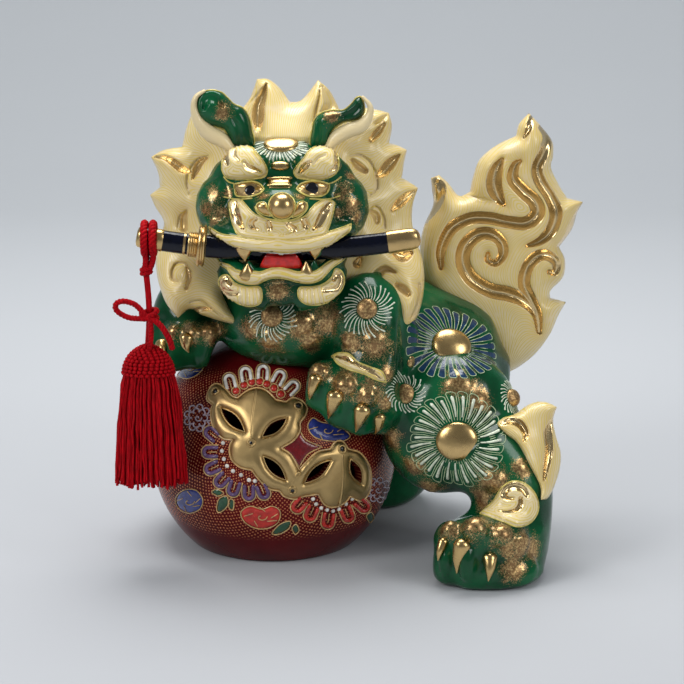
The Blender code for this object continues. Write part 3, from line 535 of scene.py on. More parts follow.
def blend(tree, share, a, b):
    made = node(tree, "ShaderNodeMix", {0: share}, data_type="RGBA")
    for key, value in ((6, a), (7, b)):
        if isinstance(value, bpy.types.NodeSocket):
            tree.links.new(value, made.inputs[key])
        else:
            made.inputs[key].default_value = (*value, 1.0)
    return made.outputs[2]


def mix_value(tree, share, a, b):
    return node(tree, "ShaderNodeMix", {0: share, 2: a, 3: b}, data_type="FLOAT").outputs[0]


def layer(tree, name):
    return node(tree, "ShaderNodeAttribute", attribute_name=name).outputs["Fac"]


def coords(tree):
    return node(tree, "ShaderNodeTexCoord").outputs["Object"]


def noise(tree, scale, detail=3.0, rough=0.5, across=None):
    inputs = {"Vector": across or coords(tree), "Scale": scale, "Detail": detail, "Roughness": rough}
    return node(tree, "ShaderNodeTexNoise", inputs).outputs["Fac"]


def bump(tree, strength, distance, height):
    inputs = {"Strength": strength, "Distance": distance, "Height": height}
    return node(tree, "ShaderNodeBump", inputs).outputs[0]


def vector_math(tree, operation, a, b=(0, 0, 0), out=0):
    return node(tree, "ShaderNodeVectorMath", {0: a, 1: b}, operation=operation).outputs[out]


def combine(tree, **parts):
    return node(tree, "ShaderNodeCombineXYZ", parts).outputs[0]


def shared_group(name, result, kind, **inputs):
    """An empty shader group with inputs of one value each. Returns it, its inputs and its output node."""
    tree = bpy.data.node_groups.new(name, "ShaderNodeTree")
    for label, start in inputs.items():
        tree.interface.new_socket(label, in_out="INPUT", socket_type="NodeSocketFloat").default_value = start
    tree.interface.new_socket(result, in_out="OUTPUT", socket_type=kind)
    return tree, tree.nodes.new("NodeGroupInput").outputs, tree.nodes.new("NodeGroupOutput")


def make_sponge_group():
    """Gold dust dabbed on with a sponge: dense where gilt is high, loose specks where it fades."""
    tree, given, end = shared_group("Sponged gold", "Mask", "NodeSocketFloat", Gilt=0.0)
    gilt = given["Gilt"]
    cloud = times(tree, less(tree, noise(tree, 120.0), 0.5), 0.9)
    speck = times(tree, less(tree, noise(tree, 1500.0, 2.0, 0.6), 0.5), 1.5)
    near = times(tree, gilt, 4.0, True)
    uneven = times(tree, plus(tree, cloud, speck), near)
    full = plus(tree, times(tree, gilt, 0.85), uneven)
    tree.links.new(ramp(tree, full, 0.42, 0.60), end.inputs["Mask"])
    return tree


def make_hair_group():
    """Fine drawn lines that follow the hair, one every spacing of the flow layer, broken a little.

    Octave says how far apart the flow's levels lie, in doublings. Where they spread, new lines fade in
    between.
    """
    tree, given, end = shared_group("Hair lines", "Mask", "NodeSocketFloat", Flow=0.0, Spacing=1.4,
                                    Octave=0.0)
    whole = math_node(tree, "FLOOR", given["Octave"])
    part = less(tree, given["Octave"], whole)
    spread = math_node(tree, "POWER", 2.0, part)
    levels = math_node(tree, "DIVIDE", given["Flow"], given["Spacing"])
    levels = times(tree, levels, math_node(tree, "POWER", 2.0, whole))
    wander = math_node(tree, "DIVIDE", times(tree, noise(tree, 60.0), 0.5), spread)
    phase = math_node(tree, "FRACT", plus(tree, levels, wander))
    between = math_node(tree, "ABSOLUTE", less(tree, phase, 0.5))
    onto = less(tree, 0.5, between)
    old, new = [less(tree, 1.0, ramp(tree, times(tree, away, spread), 0.10, 0.24))
                for away in (onto, between)]
    line = math_node(tree, "MAXIMUM", old, times(tree, new, ramp(tree, part, 0.15, 0.85)))
    broken = ramp(tree, noise(tree, 110.0, 2.0), 0.25, 0.45)
    tree.links.new(times(tree, line, broken), end.inputs["Mask"])
    return tree


def make_ripple_group():
    """The faint unevenness of a fired glaze, as a normal."""
    tree, given, end = shared_group("Glaze ripple", "Normal", "NodeSocketVector", Strength=0.1, Scale=120.0)
    wave = noise(tree, given["Scale"], 2.0)
    tree.links.new(bump(tree, given["Strength"], 0.001, wave), end.inputs["Normal"])
    return tree


def finish(name, **sockets):
    """A new Principled material and its tree, with constant values on the shader's own sockets."""
    made = bpy.data.materials.new(name)
    made.use_nodes = True
    tree = made.node_tree
    shader = tree.nodes["Principled BSDF"]
    for key, value in sockets.items():
        shader.inputs[key.replace("_", " ")].default_value = value
    return made, tree, shader


def wire(shader, name, value):
    """Joins a value to one of the shader's own sockets."""
    shader.id_data.links.new(value, shader.inputs[name])


def use_group(tree, name, **inputs):
    return node(tree, "ShaderNodeGroup", inputs, node_tree=bpy.data.node_groups[name]).outputs[0]


def shaded(colour, share):
    return [c * share for c in colour]


def gold_colour(tree, colours, deep):
    rich = shaded(colours.gold, deep)
    return blend(tree, noise(tree, 220.0, 4.0, 0.6), shaded(rich, 0.72), rich)


def dust_colour(tree, colours):
    """Brown-gold dust with brighter grains."""
    return blend(tree, ramp(tree, noise(tree, 700.0, 3.0, 0.7), 0.42, 0.70), colours.dust, colours.gold)


def make_green(colours):
    made, tree, shader = finish("green_glaze", Coat_Weight=0.06, Coat_Roughness=0.10, Specular_IOR_Level=0.32)
    mask = use_group(tree, "Sponged gold", Gilt=layer(tree, "gilt"))
    pooled = ramp(tree, noise(tree, 38.0), 0.32, 0.68)
    deep = blend(tree, pooled, shaded(colours.green, 0.38), colours.green)
    colour = blend(tree, mask, deep, dust_colour(tree, colours))
    wire(shader, "Base Color", colour)
    wire(shader, "Metallic", times(tree, mask, 0.85))
    wire(shader, "Roughness", mix_value(tree, mask, 0.17, 0.30))
    wire(shader, "Normal", use_group(tree, "Glaze ripple", Strength=0.18, Scale=150.0))
    return made


def make_dusted(colours):
    """A boss that is gold dust all over."""
    made, tree, shader = finish("gold_dust", Metallic=0.8)
    wire(shader, "Base Color", dust_colour(tree, colours))
    wire(shader, "Roughness", mix_value(tree, noise(tree, 900.0), 0.28, 0.5))
    wire(shader, "Normal", bump(tree, 0.35, 0.0005, noise(tree, 1300.0, 2.0)))
    return made


def make_ivory(colours, spacing):
    made, tree, shader = finish("ivory_hair", Coat_Weight=0.25, Coat_Roughness=0.12)
    gilt = ramp(tree, layer(tree, "gilt"), 0.25, 0.8)
    lines = use_group(tree, "Hair lines", Flow=layer(tree, "flow"), Spacing=spacing,
                      Octave=layer(tree, "octave"))
    pooled = ramp(tree, noise(tree, 45.0), 0.3, 0.75)
    cream = blend(tree, pooled, shaded(colours.ivory, 0.88), colours.ivory)
    # Near the gilt grooves the wash layer turns the ivory darker and warmer: partly a gold wash, partly
    # painted shade in the hollows.
    wash_and_shade = [c * fall for c, fall in zip(colours.ivory, (0.80, 0.68, 0.45))]
    cream = blend(tree, times(tree, layer(tree, "wash"), 0.75), cream, wash_and_shade)
    drawn = blend(tree, times(tree, lines, 0.85), cream, colours.hair_line)
    wire(shader, "Base Color", blend(tree, gilt, drawn, colours.satin))
    wire(shader, "Metallic", gilt)
    wire(shader, "Roughness", mix_value(tree, gilt, 0.36, 0.22))
    height = plus(tree, times(tree, lines, 0.5), times(tree, noise(tree, 160.0, 2.0), 0.4))
    wire(shader, "Normal", bump(tree, 0.18, 0.0006, height))
    return made


def make_gold(name, colours, smooth, dull, deep=1.0):
    made, tree, shader = finish(name, Metallic=1.0)
    wire(shader, "Base Color", gold_colour(tree, colours, deep))
    wire(shader, "Roughness", mix_value(tree, noise(tree, 90.0, 4.0), smooth, dull))
    wire(shader, "Normal", use_group(tree, "Glaze ripple", Strength=0.22, Scale=130.0))
    return made


def make_enamel(name, colour, roughness):
    """A raised overglaze colour, thicker and darker in places."""
    made, tree, shader = finish(name, Coat_Weight=0.3, Coat_Roughness=0.06)
    thick = ramp(tree, noise(tree, 260.0, 3.0), 0.3, 0.7)
    wire(shader, "Base Color", blend(tree, thick, shaded(colour, 0.6), colour))
    wire(shader, "Roughness", mix_value(tree, noise(tree, 400.0), roughness * 0.7, roughness * 1.5))
    wire(shader, "Normal", use_group(tree, "Glaze ripple", Strength=0.2, Scale=400.0))
    return made


def make_ball_red(colours):
    """Iron red with rows of fine gold dots that circle the plaques, where the ground layer is on."""
    made, tree, shader = finish("iron_red_ground", Coat_Weight=0.0, Specular_IOR_Level=0.14)
    middle = tuple(BALL_CENTRE * MM + ORIGIN)
    out = vector_math(tree, "NORMALIZE", vector_math(tree, "SUBTRACT", coords(tree), middle))
    across, up, ahead = facing_axes(DOT_POLE)

    def share(axis):
        return vector_math(tree, "DOT_PRODUCT", out, tuple(axis), "Value")

    row = times(tree, math_node(tree, "ARCCOSINE", share(ahead)), BALL_RADIUS * tau / DOT_ROW)
    row = plus(tree, row, times(tree, noise(tree, 170.0, 2.0), DOT_WANDER))
    spin = times(tree, math_node(tree, "ARCTAN2", share(up), share(across)), DOTS_ROUND)
    spin = plus(tree, spin, times(tree, noise(tree, 210.0, 2.0), DOT_WANDER))
    wave = times(tree, math_node(tree, "COSINE", row), math_node(tree, "COSINE", spin))
    dots = times(tree, ramp(tree, wave, 0.34, 0.66), ramp(tree, noise(tree, 120.0, 3.0), 0.22, 0.40))
    dots = times(tree, dots, layer(tree, "ground"))
    red = blend(tree, ramp(tree, noise(tree, 30.0), 0.3, 0.7), shaded(colours.red, 0.6), colours.red)
    wire(shader, "Base Color", blend(tree, times(tree, dots, 0.64), red, colours.dot_gold))
    wire(shader, "Metallic", times(tree, dots, 0.5))
    wire(shader, "Roughness", mix_value(tree, dots, 0.20, 0.40))
    wire(shader, "Normal", bump(tree, 0.35, 0.0005, dots))
    return made


def make_silk(colours):
    """Dyed silk thread: soft sheen and a fine lengthwise fibre."""
    made, tree, shader = finish("red_silk", Sheen_Weight=0.06, Sheen_Roughness=0.4,
                                Sheen_Tint=(1.0, 0.1, 0.1, 1.0), Specular_IOR_Level=0.08)
    stretch = node(tree, "ShaderNodeMapping", {"Vector": coords(tree), "Scale": (1.0, 1.0, 0.12)}).outputs[0]
    fibre = noise(tree, 1500.0, across=stretch)
    tone = blend(tree, ramp(tree, fibre, 0.3, 0.7), shaded(colours.silk, 0.45), colours.silk)
    wire(shader, "Base Color", tone)
    wire(shader, "Roughness", mix_value(tree, fibre, 0.45, 0.7))
    wire(shader, "Normal", bump(tree, 0.4, 0.0004, fibre))
    return made


def get_finish(name):
    return bpy.data.materials[name]


# Settings

def colour_setting(label, words, start):
    return FloatVectorProperty(name=label, description=words, subtype="COLOR", size=3, min=0.0, max=1.0,
                               default=start)


class LionColours(bpy.types.PropertyGroup):
    """Glaze and gilding colours."""
    green: colour_setting("Green", "Body enamel", (0.002, 0.092, 0.030))
    ivory: colour_setting("Ivory", "Hair glaze", (0.77, 0.63, 0.36))
    hair_line: colour_setting("Hair line", "Lines drawn on the hair", (0.66, 0.49, 0.07))
    gold: colour_setting("Gold", "Gilding", (0.76, 0.53, 0.23))
    satin: colour_setting("Satin gold", "Gold in the hollows of the hair", (0.84, 0.63, 0.32))
    dust: colour_setting("Gold dust", "Sponged gold", (0.27, 0.155, 0.068))
    dot_gold: colour_setting("Dot gold", "Dotted ground of the ball", (0.76, 0.28, 0.11))
    red: colour_setting("Ball red", "Ground of the ball", (0.110, 0.004, 0.005))
    silk: colour_setting("Silk", "Cord and tassel", (0.46, 0.001, 0.006))


class LionSizes(bpy.types.PropertyGroup):
    """Sizes of the drawn and carved detail."""
    hair_spacing: FloatProperty(name="Hair line spacing", description="Distance between drawn hair lines",
                                default=1.5 * MM, min=0.5 * MM, max=4.0 * MM, precision=4, unit="LENGTH")
    strands: IntProperty(name="Tassel strands", description="Threads in the tassel",
                         default=420, min=50, max=900, subtype="UNSIGNED")
    skin_voxel: FloatProperty(name="Skin fineness", description="Voxel of the cast skin",
                              default=1.37 * MM, min=0.8 * MM, max=3.0 * MM, precision=5, unit="LENGTH")


# The cast green body

BODY_NODES = ("torso", "near_foreleg", "far_foreleg", "near_hind_leg", "far_hind_leg")

# Rounded bosses dabbed with gold: pixel, radius in pixels, height in millimetres
BODY_BOSSES = (
    (303, 326, 12, 3.0), (327, 317, 11, 2.6), (310, 342, 10, 2.4), (270, 341, 11, 2.6), (350, 342, 9, 2.2),
    (374, 343, 12, 3.0), (392, 437, 10, 2.6), (414, 466, 9, 2.0), (460, 384, 12, 1.6), (479, 401, 9, 1.8),
    (492, 483, 13, 2.6), (484, 497, 9, 1.6), (521, 468, 7, 1.2), (412, 362, 7, 1.4), (318, 370, 9, 1.4),
    (346, 384, 11, 1.6), (368, 393, 10, 1.6), (386, 402, 7, 1.4), (450, 530, 8, 1.4), (476, 526, 11, 1.6),
    (501, 534, 11, 1.6), (522, 545, 12, 1.2), (508, 549, 8, 1.0), (512, 568, 9, 1.0), (530, 548, 9, 1.2),
    (190, 332, 9, 2.0), (212, 332, 9, 2.0), (172, 330, 7, 1.6), (430, 487, 10, 1.2), (385, 375, 8, 1.2),
    (250, 330, 8, 1.2),
)

# Toes: pixel, half width and half height in pixels, and how far they stand out in millimetres
TOES = (
    (450, 531, 9, 11, 4.0), (476, 529, 13, 13, 5.0), (501, 537, 12, 12, 5.0), (446, 561, 7.5, 19, 4.5),
    (467, 563, 9.5, 21, 5.5), (489, 570, 9.5, 17, 5.0), (522, 567, 19, 18, 2.5), (318, 371, 9, 9, 3.0),
    (346, 386, 11, 11, 4.0), (368, 396, 10, 11, 4.0), (386, 404, 8, 10, 3.0), (315, 389, 6.5, 12, 4.0),
    (335, 404, 8.5, 14, 5.0), (360, 416, 8.5, 13, 5.0), (380, 421, 6.5, 10, 4.0),
)

# Dabs of gold on the side away from the camera: place, radius and strength
FAR_DABS = (
    ((98, 30, 100), 9, 0.8), ((60, 52, 110), 10, 0.8), ((30, 70, 60), 9, 0.8), ((8, 82, 30), 9, 0.9),
    ((24, 92, 28), 9, 0.9), ((4, 66, 34), 8, 0.9), ((40, 30, 160), 10, 0.7), ((70, 20, 150), 9, 0.7),
    ((10, 46, 150), 9, 0.8), ((-14, 42, 166), 9, 0.8), ((20, 52, 128), 8, 0.7), ((-44, 54, 152), 9, 0.8),
    ((-70, 44, 138), 9, 0.8), ((-96, 10, 136), 8, 0.8), ((-24, 50, 132), 7, 0.7), ((84, 46, 74), 8, 0.8),
    ((40, 88, 56), 8, 0.8),
)

# The shoulder's right flank: pixel where it starts to draw in, the pixel rows between which it does, by how
# much, and the depth behind which nothing moves
SHOULDER_EDGE = 396.0
SHOULDER_TOP, SHOULDER_FOOT = 306, 412
SHOULDER_DRAW = 0.8
SHOULDER_Y = -46.0

# Claws: pixel of the root, pixel of the tip, root radius in millimetres
CLAWS = (
    (316, 379, 311, 398, 4.3), (335, 397, 329, 418, 5.3), (362, 411, 356, 431, 5.3),
    (379, 417, 374, 432, 3.8), (444, 542, 440, 560, 3.4), (463, 546, 459, 573, 5.4),
    (489.5, 558, 488, 580, 4.6), (187, 338, 190, 352, 4.6), (163, 344, 168, 356, 4.3),
)


def tuck(place):
    """A place on the shoulder's right flank, drawn in so that the haunch's flower shows beside the mane."""
    ahead = place - EYE
    depth = ahead @ AHEAD
    px = FRAME_PIXELS / 2 + ahead @ RIGHT * VIEW_DISTANCE / depth / PIXEL
    py = FRAME_PIXELS / 2 - ahead @ UPWARD * VIEW_DISTANCE / depth / PIXEL
    share = eased((SHOULDER_Y - place[1]) / 8) * eased((py - SHOULDER_TOP) / 14)
    share *= eased((SHOULDER_FOOT - py) / 16)
    return place - RIGHT * max(px - SHOULDER_EDGE, 0.0) * SHOULDER_DRAW * share * PIXEL


def merged(name, *meshes):
    """One mesh of several, which are then removed."""
    bm = bmesh.new()
    for mesh in meshes:
        bm.from_mesh(mesh)
        bpy.data.meshes.remove(mesh)
    whole = bpy.data.meshes.new(name)
    bm.to_mesh(whole)
    bm.free()
    return whole


def cast_skin(name, nodes, voxel, extra=None, swell=0.45, smooth=7, settle=0, tucked=()):
    """One fine skin fused over several cast solids and the shapes in extra."""
    shells = []
    for key in nodes:
        part = bmesh.new()
        part.from_mesh(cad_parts[key].data)
        bmesh.ops.remove_doubles(part, verts=part.verts, dist=1e-6)
        part.normal_update()
        for vert in part.verts:
            vert.co += vert.normal * swell * MM
            if key in tucked:
                vert.co = Vector(tuck((np.array(vert.co) - ORIGIN) / MM) * MM + ORIGIN)
        shell = bpy.data.meshes.new("shell")
        part.to_mesh(shell)
        part.free()
        shells.append(shell)
    mesh = merged(name, *shells)
    if settle:
        mesh = fused(mesh, name, voxel * 1.3, settle)
    if extra is not None:
        mesh = merged(name, mesh, extra.mesh("extra"))
    return fused(mesh, name, voxel, smooth)


def fused(mesh, name, voxel, smooth):
    """One even skin round a mesh of several shells, softened."""
    rough = placed(name, mesh)
    fuse = rough.modifiers.new("fuse", "REMESH")
    fuse.mode = "VOXEL"
    fuse.voxel_size = voxel * MM
    soften = rough.modifiers.new("soften", "SMOOTH")
    soften.factor = 0.5
    soften.iterations = smooth
    return bake(rough, name)


def bake(item, name):
    """The evaluated mesh of an object, which is then removed."""
    bpy.context.view_layer.update()
    made = bpy.data.meshes.new_from_object(item.evaluated_get(bpy.context.evaluated_depsgraph_get()))
    old = item.data
    bpy.data.objects.remove(item)
    bpy.data.meshes.remove(old)
    made.name = name
    made.shade_smooth()
    return made


def mesh_points(mesh):
    co = np.empty(len(mesh.vertices) * 3)
    mesh.vertices.foreach_get("co", co)
    return (co.reshape(-1, 3) - ORIGIN) / MM


def write_layer(mesh, name, values):
    made = mesh.attributes.new(name, "FLOAT", "POINT")
    made.data.foreach_set("value", np.asarray(values, np.float32))


def dab_gold(mesh, dabs):
    """Writes the gilt layer as soft round dabs of (place, radius, strength)."""
    points = mesh_points(mesh)
    gilt = np.zeros(len(points))
    for place, radius, strength in dabs:
        away = norm(points - place, axis=1)
        gilt = np.maximum(gilt, strength * np.exp(-(away / radius) ** 2))
    write_layer(mesh, "gilt", gilt)


def node_items(*names):
    return [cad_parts[n] for n in names]


class LION_OT_body(bpy.types.Operator):
    """Cast body and legs in green glaze, with gold-dabbed bosses and gilt claws"""
    bl_idname = "lion.body"
    bl_label = "Body"

    def execute(self, context):
        carrier = Carrier(*node_items(*BODY_NODES))
        bumps, dabs = Clay(), []
        for px, py, radius, height in BODY_BOSSES:
            place, normal = carrier.spot(px, py)
            a, b, n = facing_axes(normal)
            size = radius * PIXEL
            ball_shape(bumps, place - n * 0.5, (a * size, b * size, n * (height + 0.6)), sides=16)
            dabs.append((place + n * height * 0.6, size * 1.7, 0.95))
        for px, py, wide, tall, out in TOES:
            place, normal = carrier.spot(px, py)
            a, b, n = facing_axes(normal + np.array((0, -0.6, 0)))
            ball_shape(bumps, place - n * 2.0, (a * wide * PIXEL, b * tall * PIXEL, n * (out + 2.0)),
                       sides=18)
        voxel = context.scene.lion_sizes.skin_voxel / MM
        mesh = cast_skin("body_skin", BODY_NODES, voxel, bumps, settle=28, tucked=("torso", "near_foreleg"))
        dab_gold(mesh, [*dabs, *FAR_DABS])
        body = piece_from(mesh, "body_skin", get_finish("green_glaze"))
        hand_over(body, "lion", "green", *BODY_NODES)
        claws = Clay()
        skin = Carrier(body)
        for rx, ry, tx, ty, size in CLAWS:
            root, normal = skin.spot(rx, ry)
            tip, out = skin.spot(tx, ty)
            end = tip + out * 0.8
            root = root + normal * 0.6
            middle = (root + end) / 2 + normal * 1.6
            point = end + normal * 0.8
            loft(claws, ((*root, size, size * 0.8), (*middle, size * 0.62, size * 0.6), (*point, 0.4, 0.4)),
                 sides=14, steps=5)
        claws.hand_over("claws", "gilding", "lion", "gold")
        return {"FINISHED"}


# The face

FACE_X = -35.5

# Dabs of gold on the head: pixel, radius in millimetres
HEAD_DABS = ((212, 192, 7), (205, 205, 8), (222, 213, 8), (228, 192, 5), (345, 188, 7), (352, 206, 8),
             (338, 213, 6), (357, 218, 6), (350, 176, 5), (262, 196, 5), (300, 196, 5), (214, 222, 5),
             (340, 196, 5))

# Raised patches on the face: outlines in pixels, and carved hollows of (x, y, half width) stations with
# their depth in millimetres and their gilding
BROWS = (
    (((222, 165), (224, 153), (230, 146), (240, 144), (251, 147), (258, 155), (264, 163), (267, 171),
      (264, 177), (254, 179), (240, 179.5), (228, 178), (223, 172)),
     ((((230, 150, 1.2), (226.5, 156, 3), (228, 163, 2.2)), 1.8, 0.9),
      (((236, 152, 1), (235, 157, 2.6), (239, 161.5, 1.6)), 1.4, 0.6),
      (((244, 162, 1), (249, 167, 3), (259, 170, 1.4)), 2.0, 0.95),
      (((243, 146, 1), (250, 153, 1.4), (258, 163, 1)), 0.8, 0.1))),
    (((294, 172), (298, 165), (304, 158), (309, 151), (318, 146), (328, 145), (335, 150), (338, 158),
      (338, 168), (333, 175), (322, 179), (308, 179.5), (298, 178)),
     ((((333, 149, 1.2), (336.5, 157, 3.2), (335, 167, 2.2), (330, 170, 1)), 1.8, 0.9),
      (((301, 171, 1.2), (305, 166, 3), (311, 162.5, 1.2)), 2.0, 0.95),
      (((314, 164, 1), (318, 159, 1.8), (325, 156, 1)), 1.4, 0.4))),
)

MUZZLE = ((229, 203, 1), (234, 199.5), (241, 200), (246, 205), (253, 212.5), (262, 217), (272, 220),
          (283, 221.5), (295, 220), (305, 215.5), (311, 208.5), (317, 203), (325, 199.5), (331, 200.5),
          (334.5, 203, 1), (333, 211), (331, 219), (328, 229), (324, 236), (305, 240), (283, 242),
          (260, 240), (240, 236), (234, 227), (231, 215))
MUZZLE_HOLLOWS = (
    (((237, 203, 1.5), (236.5, 211, 3.6), (240, 221, 3.2), (243.5, 229.5, 1.5)), 2.4, 1.0),
    (((328, 204, 1.5), (323, 212, 3.6), (318, 222, 3.4), (313, 230, 1.5)), 2.4, 1.0),
    (((257, 218.5, 1.2), (252.5, 221, 2.6), (253, 226, 2.4), (258, 228.5, 1.2)), 2.2, 0.9),
    (((269, 222.5, 2.6), (270, 227, 3)), 2.4, 0.9), (((288, 224, 2.4), (294, 228, 3)), 2.4, 0.9),
    (((303.5, 220, 3), (305.5, 225, 3.2)), 2.4, 0.9), (((271, 231, 0.8), (277, 233.5, 0.8)), 0.8, 0.3),
    (((287, 235, 0.8), (292, 232.5, 0.8)), 0.8, 0.3), (((297, 235, 0.8), (303, 232, 0.8)), 0.8, 0.3),
)
NOSE_WINGS = (
    ((256.5, 207), (259, 203), (265, 203), (268, 208), (273, 215.5, 1), (266, 215), (260, 212)),
    ((296.5, 206), (299, 202.5), (304, 202), (306.5, 206), (304, 211), (298, 215), (292, 217, 1), (294, 211)),
)
NOSE_BRIDGE = ((268, 178.5, 1), (279.5, 178), (291, 178.5, 1), (291, 188, 1), (279.5, 188.5), (268, 188, 1))

UPPER_LIP = ((209, 227, 1), (222, 234), (236, 236), (252, 238.5), (268, 239.5), (278, 238.5), (290, 240),
             (304, 239), (318, 235.5), (330, 231.5), (341, 228), (351, 224, 1), (349, 231), (338, 239),
             (328, 246), (316, 249.5), (306, 251), (282, 252), (256, 250.5), (244, 250), (233, 246.5),
             (222, 240), (213, 233))
UPPER_TEETH = ((254, 250, 1), (282, 252), (306, 251, 1), (300, 255), (282, 255.5), (262, 254))
LOWER_LIP = ((209, 259, 1), (220, 262), (229, 265), (236, 269.5), (244, 271.5), (254, 271.5), (261, 272),
             (272, 268.5), (280, 268), (288, 269.5), (297, 272), (305, 271.5), (314, 271.5), (321, 267.5),
             (328, 262.5), (337, 258.5), (347, 256, 1), (341, 261.5), (333, 267), (327, 273), (320, 279.5),
             (311, 282.5), (303, 282.5), (295, 281), (286, 278.5), (275, 277.5), (265, 280), (258, 283.5),
             (248, 284), (239, 281.5), (232, 275.5), (227, 268.5), (218, 263.5))
BEARD = (
    (((220, 278), (228, 275), (235, 283), (247, 287), (259, 287), (262, 294), (260, 303), (250, 306),
      (238, 303), (227, 297), (220, 288)),
     ((((238, 293, 2), (228, 290, 3), (223, 283, 3), (228, 279, 2.5), (231, 284, 2)), 1.8, 0.85),
      (((240, 286, 1), (242, 303, 1.2)), 1.2, 0.0), (((247, 288, 1), (249, 305, 1.2)), 1.2, 0.0),
      (((254, 288, 1), (256, 304, 1.2)), 1.2, 0.0))),
    (((299, 288), (311, 287), (323, 284), (331, 277), (335, 269), (341, 271), (344, 279), (342, 288),
      (334, 298), (321, 304), (307, 304), (299, 298)),
     ((((324, 291, 2), (336, 287, 3), (340, 279, 3), (336, 274, 2.5), (333, 280, 2)), 1.8, 0.85),
      (((305, 288, 1), (306, 303, 1.2)), 1.2, 0.0), (((312, 288, 1), (313, 304, 1.2)), 1.2, 0.0),
      (((319, 286, 1), (321, 303, 1.2)), 1.2, 0.0))),
)

# Eyes: outline, then the pupil's pixel and radius in pixels
EYES = (
    (((235, 184, 1), (243, 182.5), (252, 181.5), (259, 184), (264, 189.5, 1), (260, 194), (250, 197),
      (240, 197), (236, 194)),
     (250, 190.5), 4.9),
    (((296.5, 189.5, 1), (301, 184.5), (309, 181.5), (320, 181.5), (328.5, 184, 1), (328, 190), (322, 196),
      (311, 197), (302, 194)),
     (312, 188.5), 6.0),
)

NOSE = (282, 206)
NOSE_RING = (13.0, 13.2)
BRIDGE_STUD = (280, 166)
BRIDGE_BARS = (((268, 179), (280, 179), (291, 179)), ((268, 187.5), (280, 187.5), (291, 187.5)))
CHIN_DAB = (279, 291)
NOSE_CREASE = ((255.5, 207), (258, 212.5), (265, 217.5), (273, 219.5), (283, 220.5), (294, 219), (302, 214.5),
               (307, 208), (306.5, 203))
LIDS = (
    ((224, 177), (229, 182), (236, 184)), ((328, 184), (335, 181.5), (341, 177)),
    ((224, 197), (238, 199.5), (252, 198.5)), ((310, 199), (326, 199.5), (340, 196)),
)
# Fangs: pixels of the root and the tip, the depths of both, half widths and half depths of root and middle
FANGS = (
    ((244, 248), (245, 260.5), (-82.5, -82.5), (5.0, 3.4), (3.25, 2.8)),
    ((315, 248), (315, 258.5), (-82.5, -82.5), (4.5, 3.4), (2.925, 2.8)),
    ((247, 276), (247.5, 264), (-80.5, -81), (4.8, 3.0), (3.2, 2.4)),
    ((306.5, 275), (306, 262), (-80.5, -81), (4.8, 3.0), (3.2, 2.4)),
)
# The flower on the forehead: pixel of its stud, pixel that its rays spread from, how wide and how high
# they spread. Its white rays are the flower's own, and their wide, close fan is also a painted highlight on
# the forehead.
FOREHEAD_STUD = (281, 144)
RAYS_FROM = (281.5, 142)
RAYS_SPREAD = (1.4, 0.92)
RAY_COUNT = 25


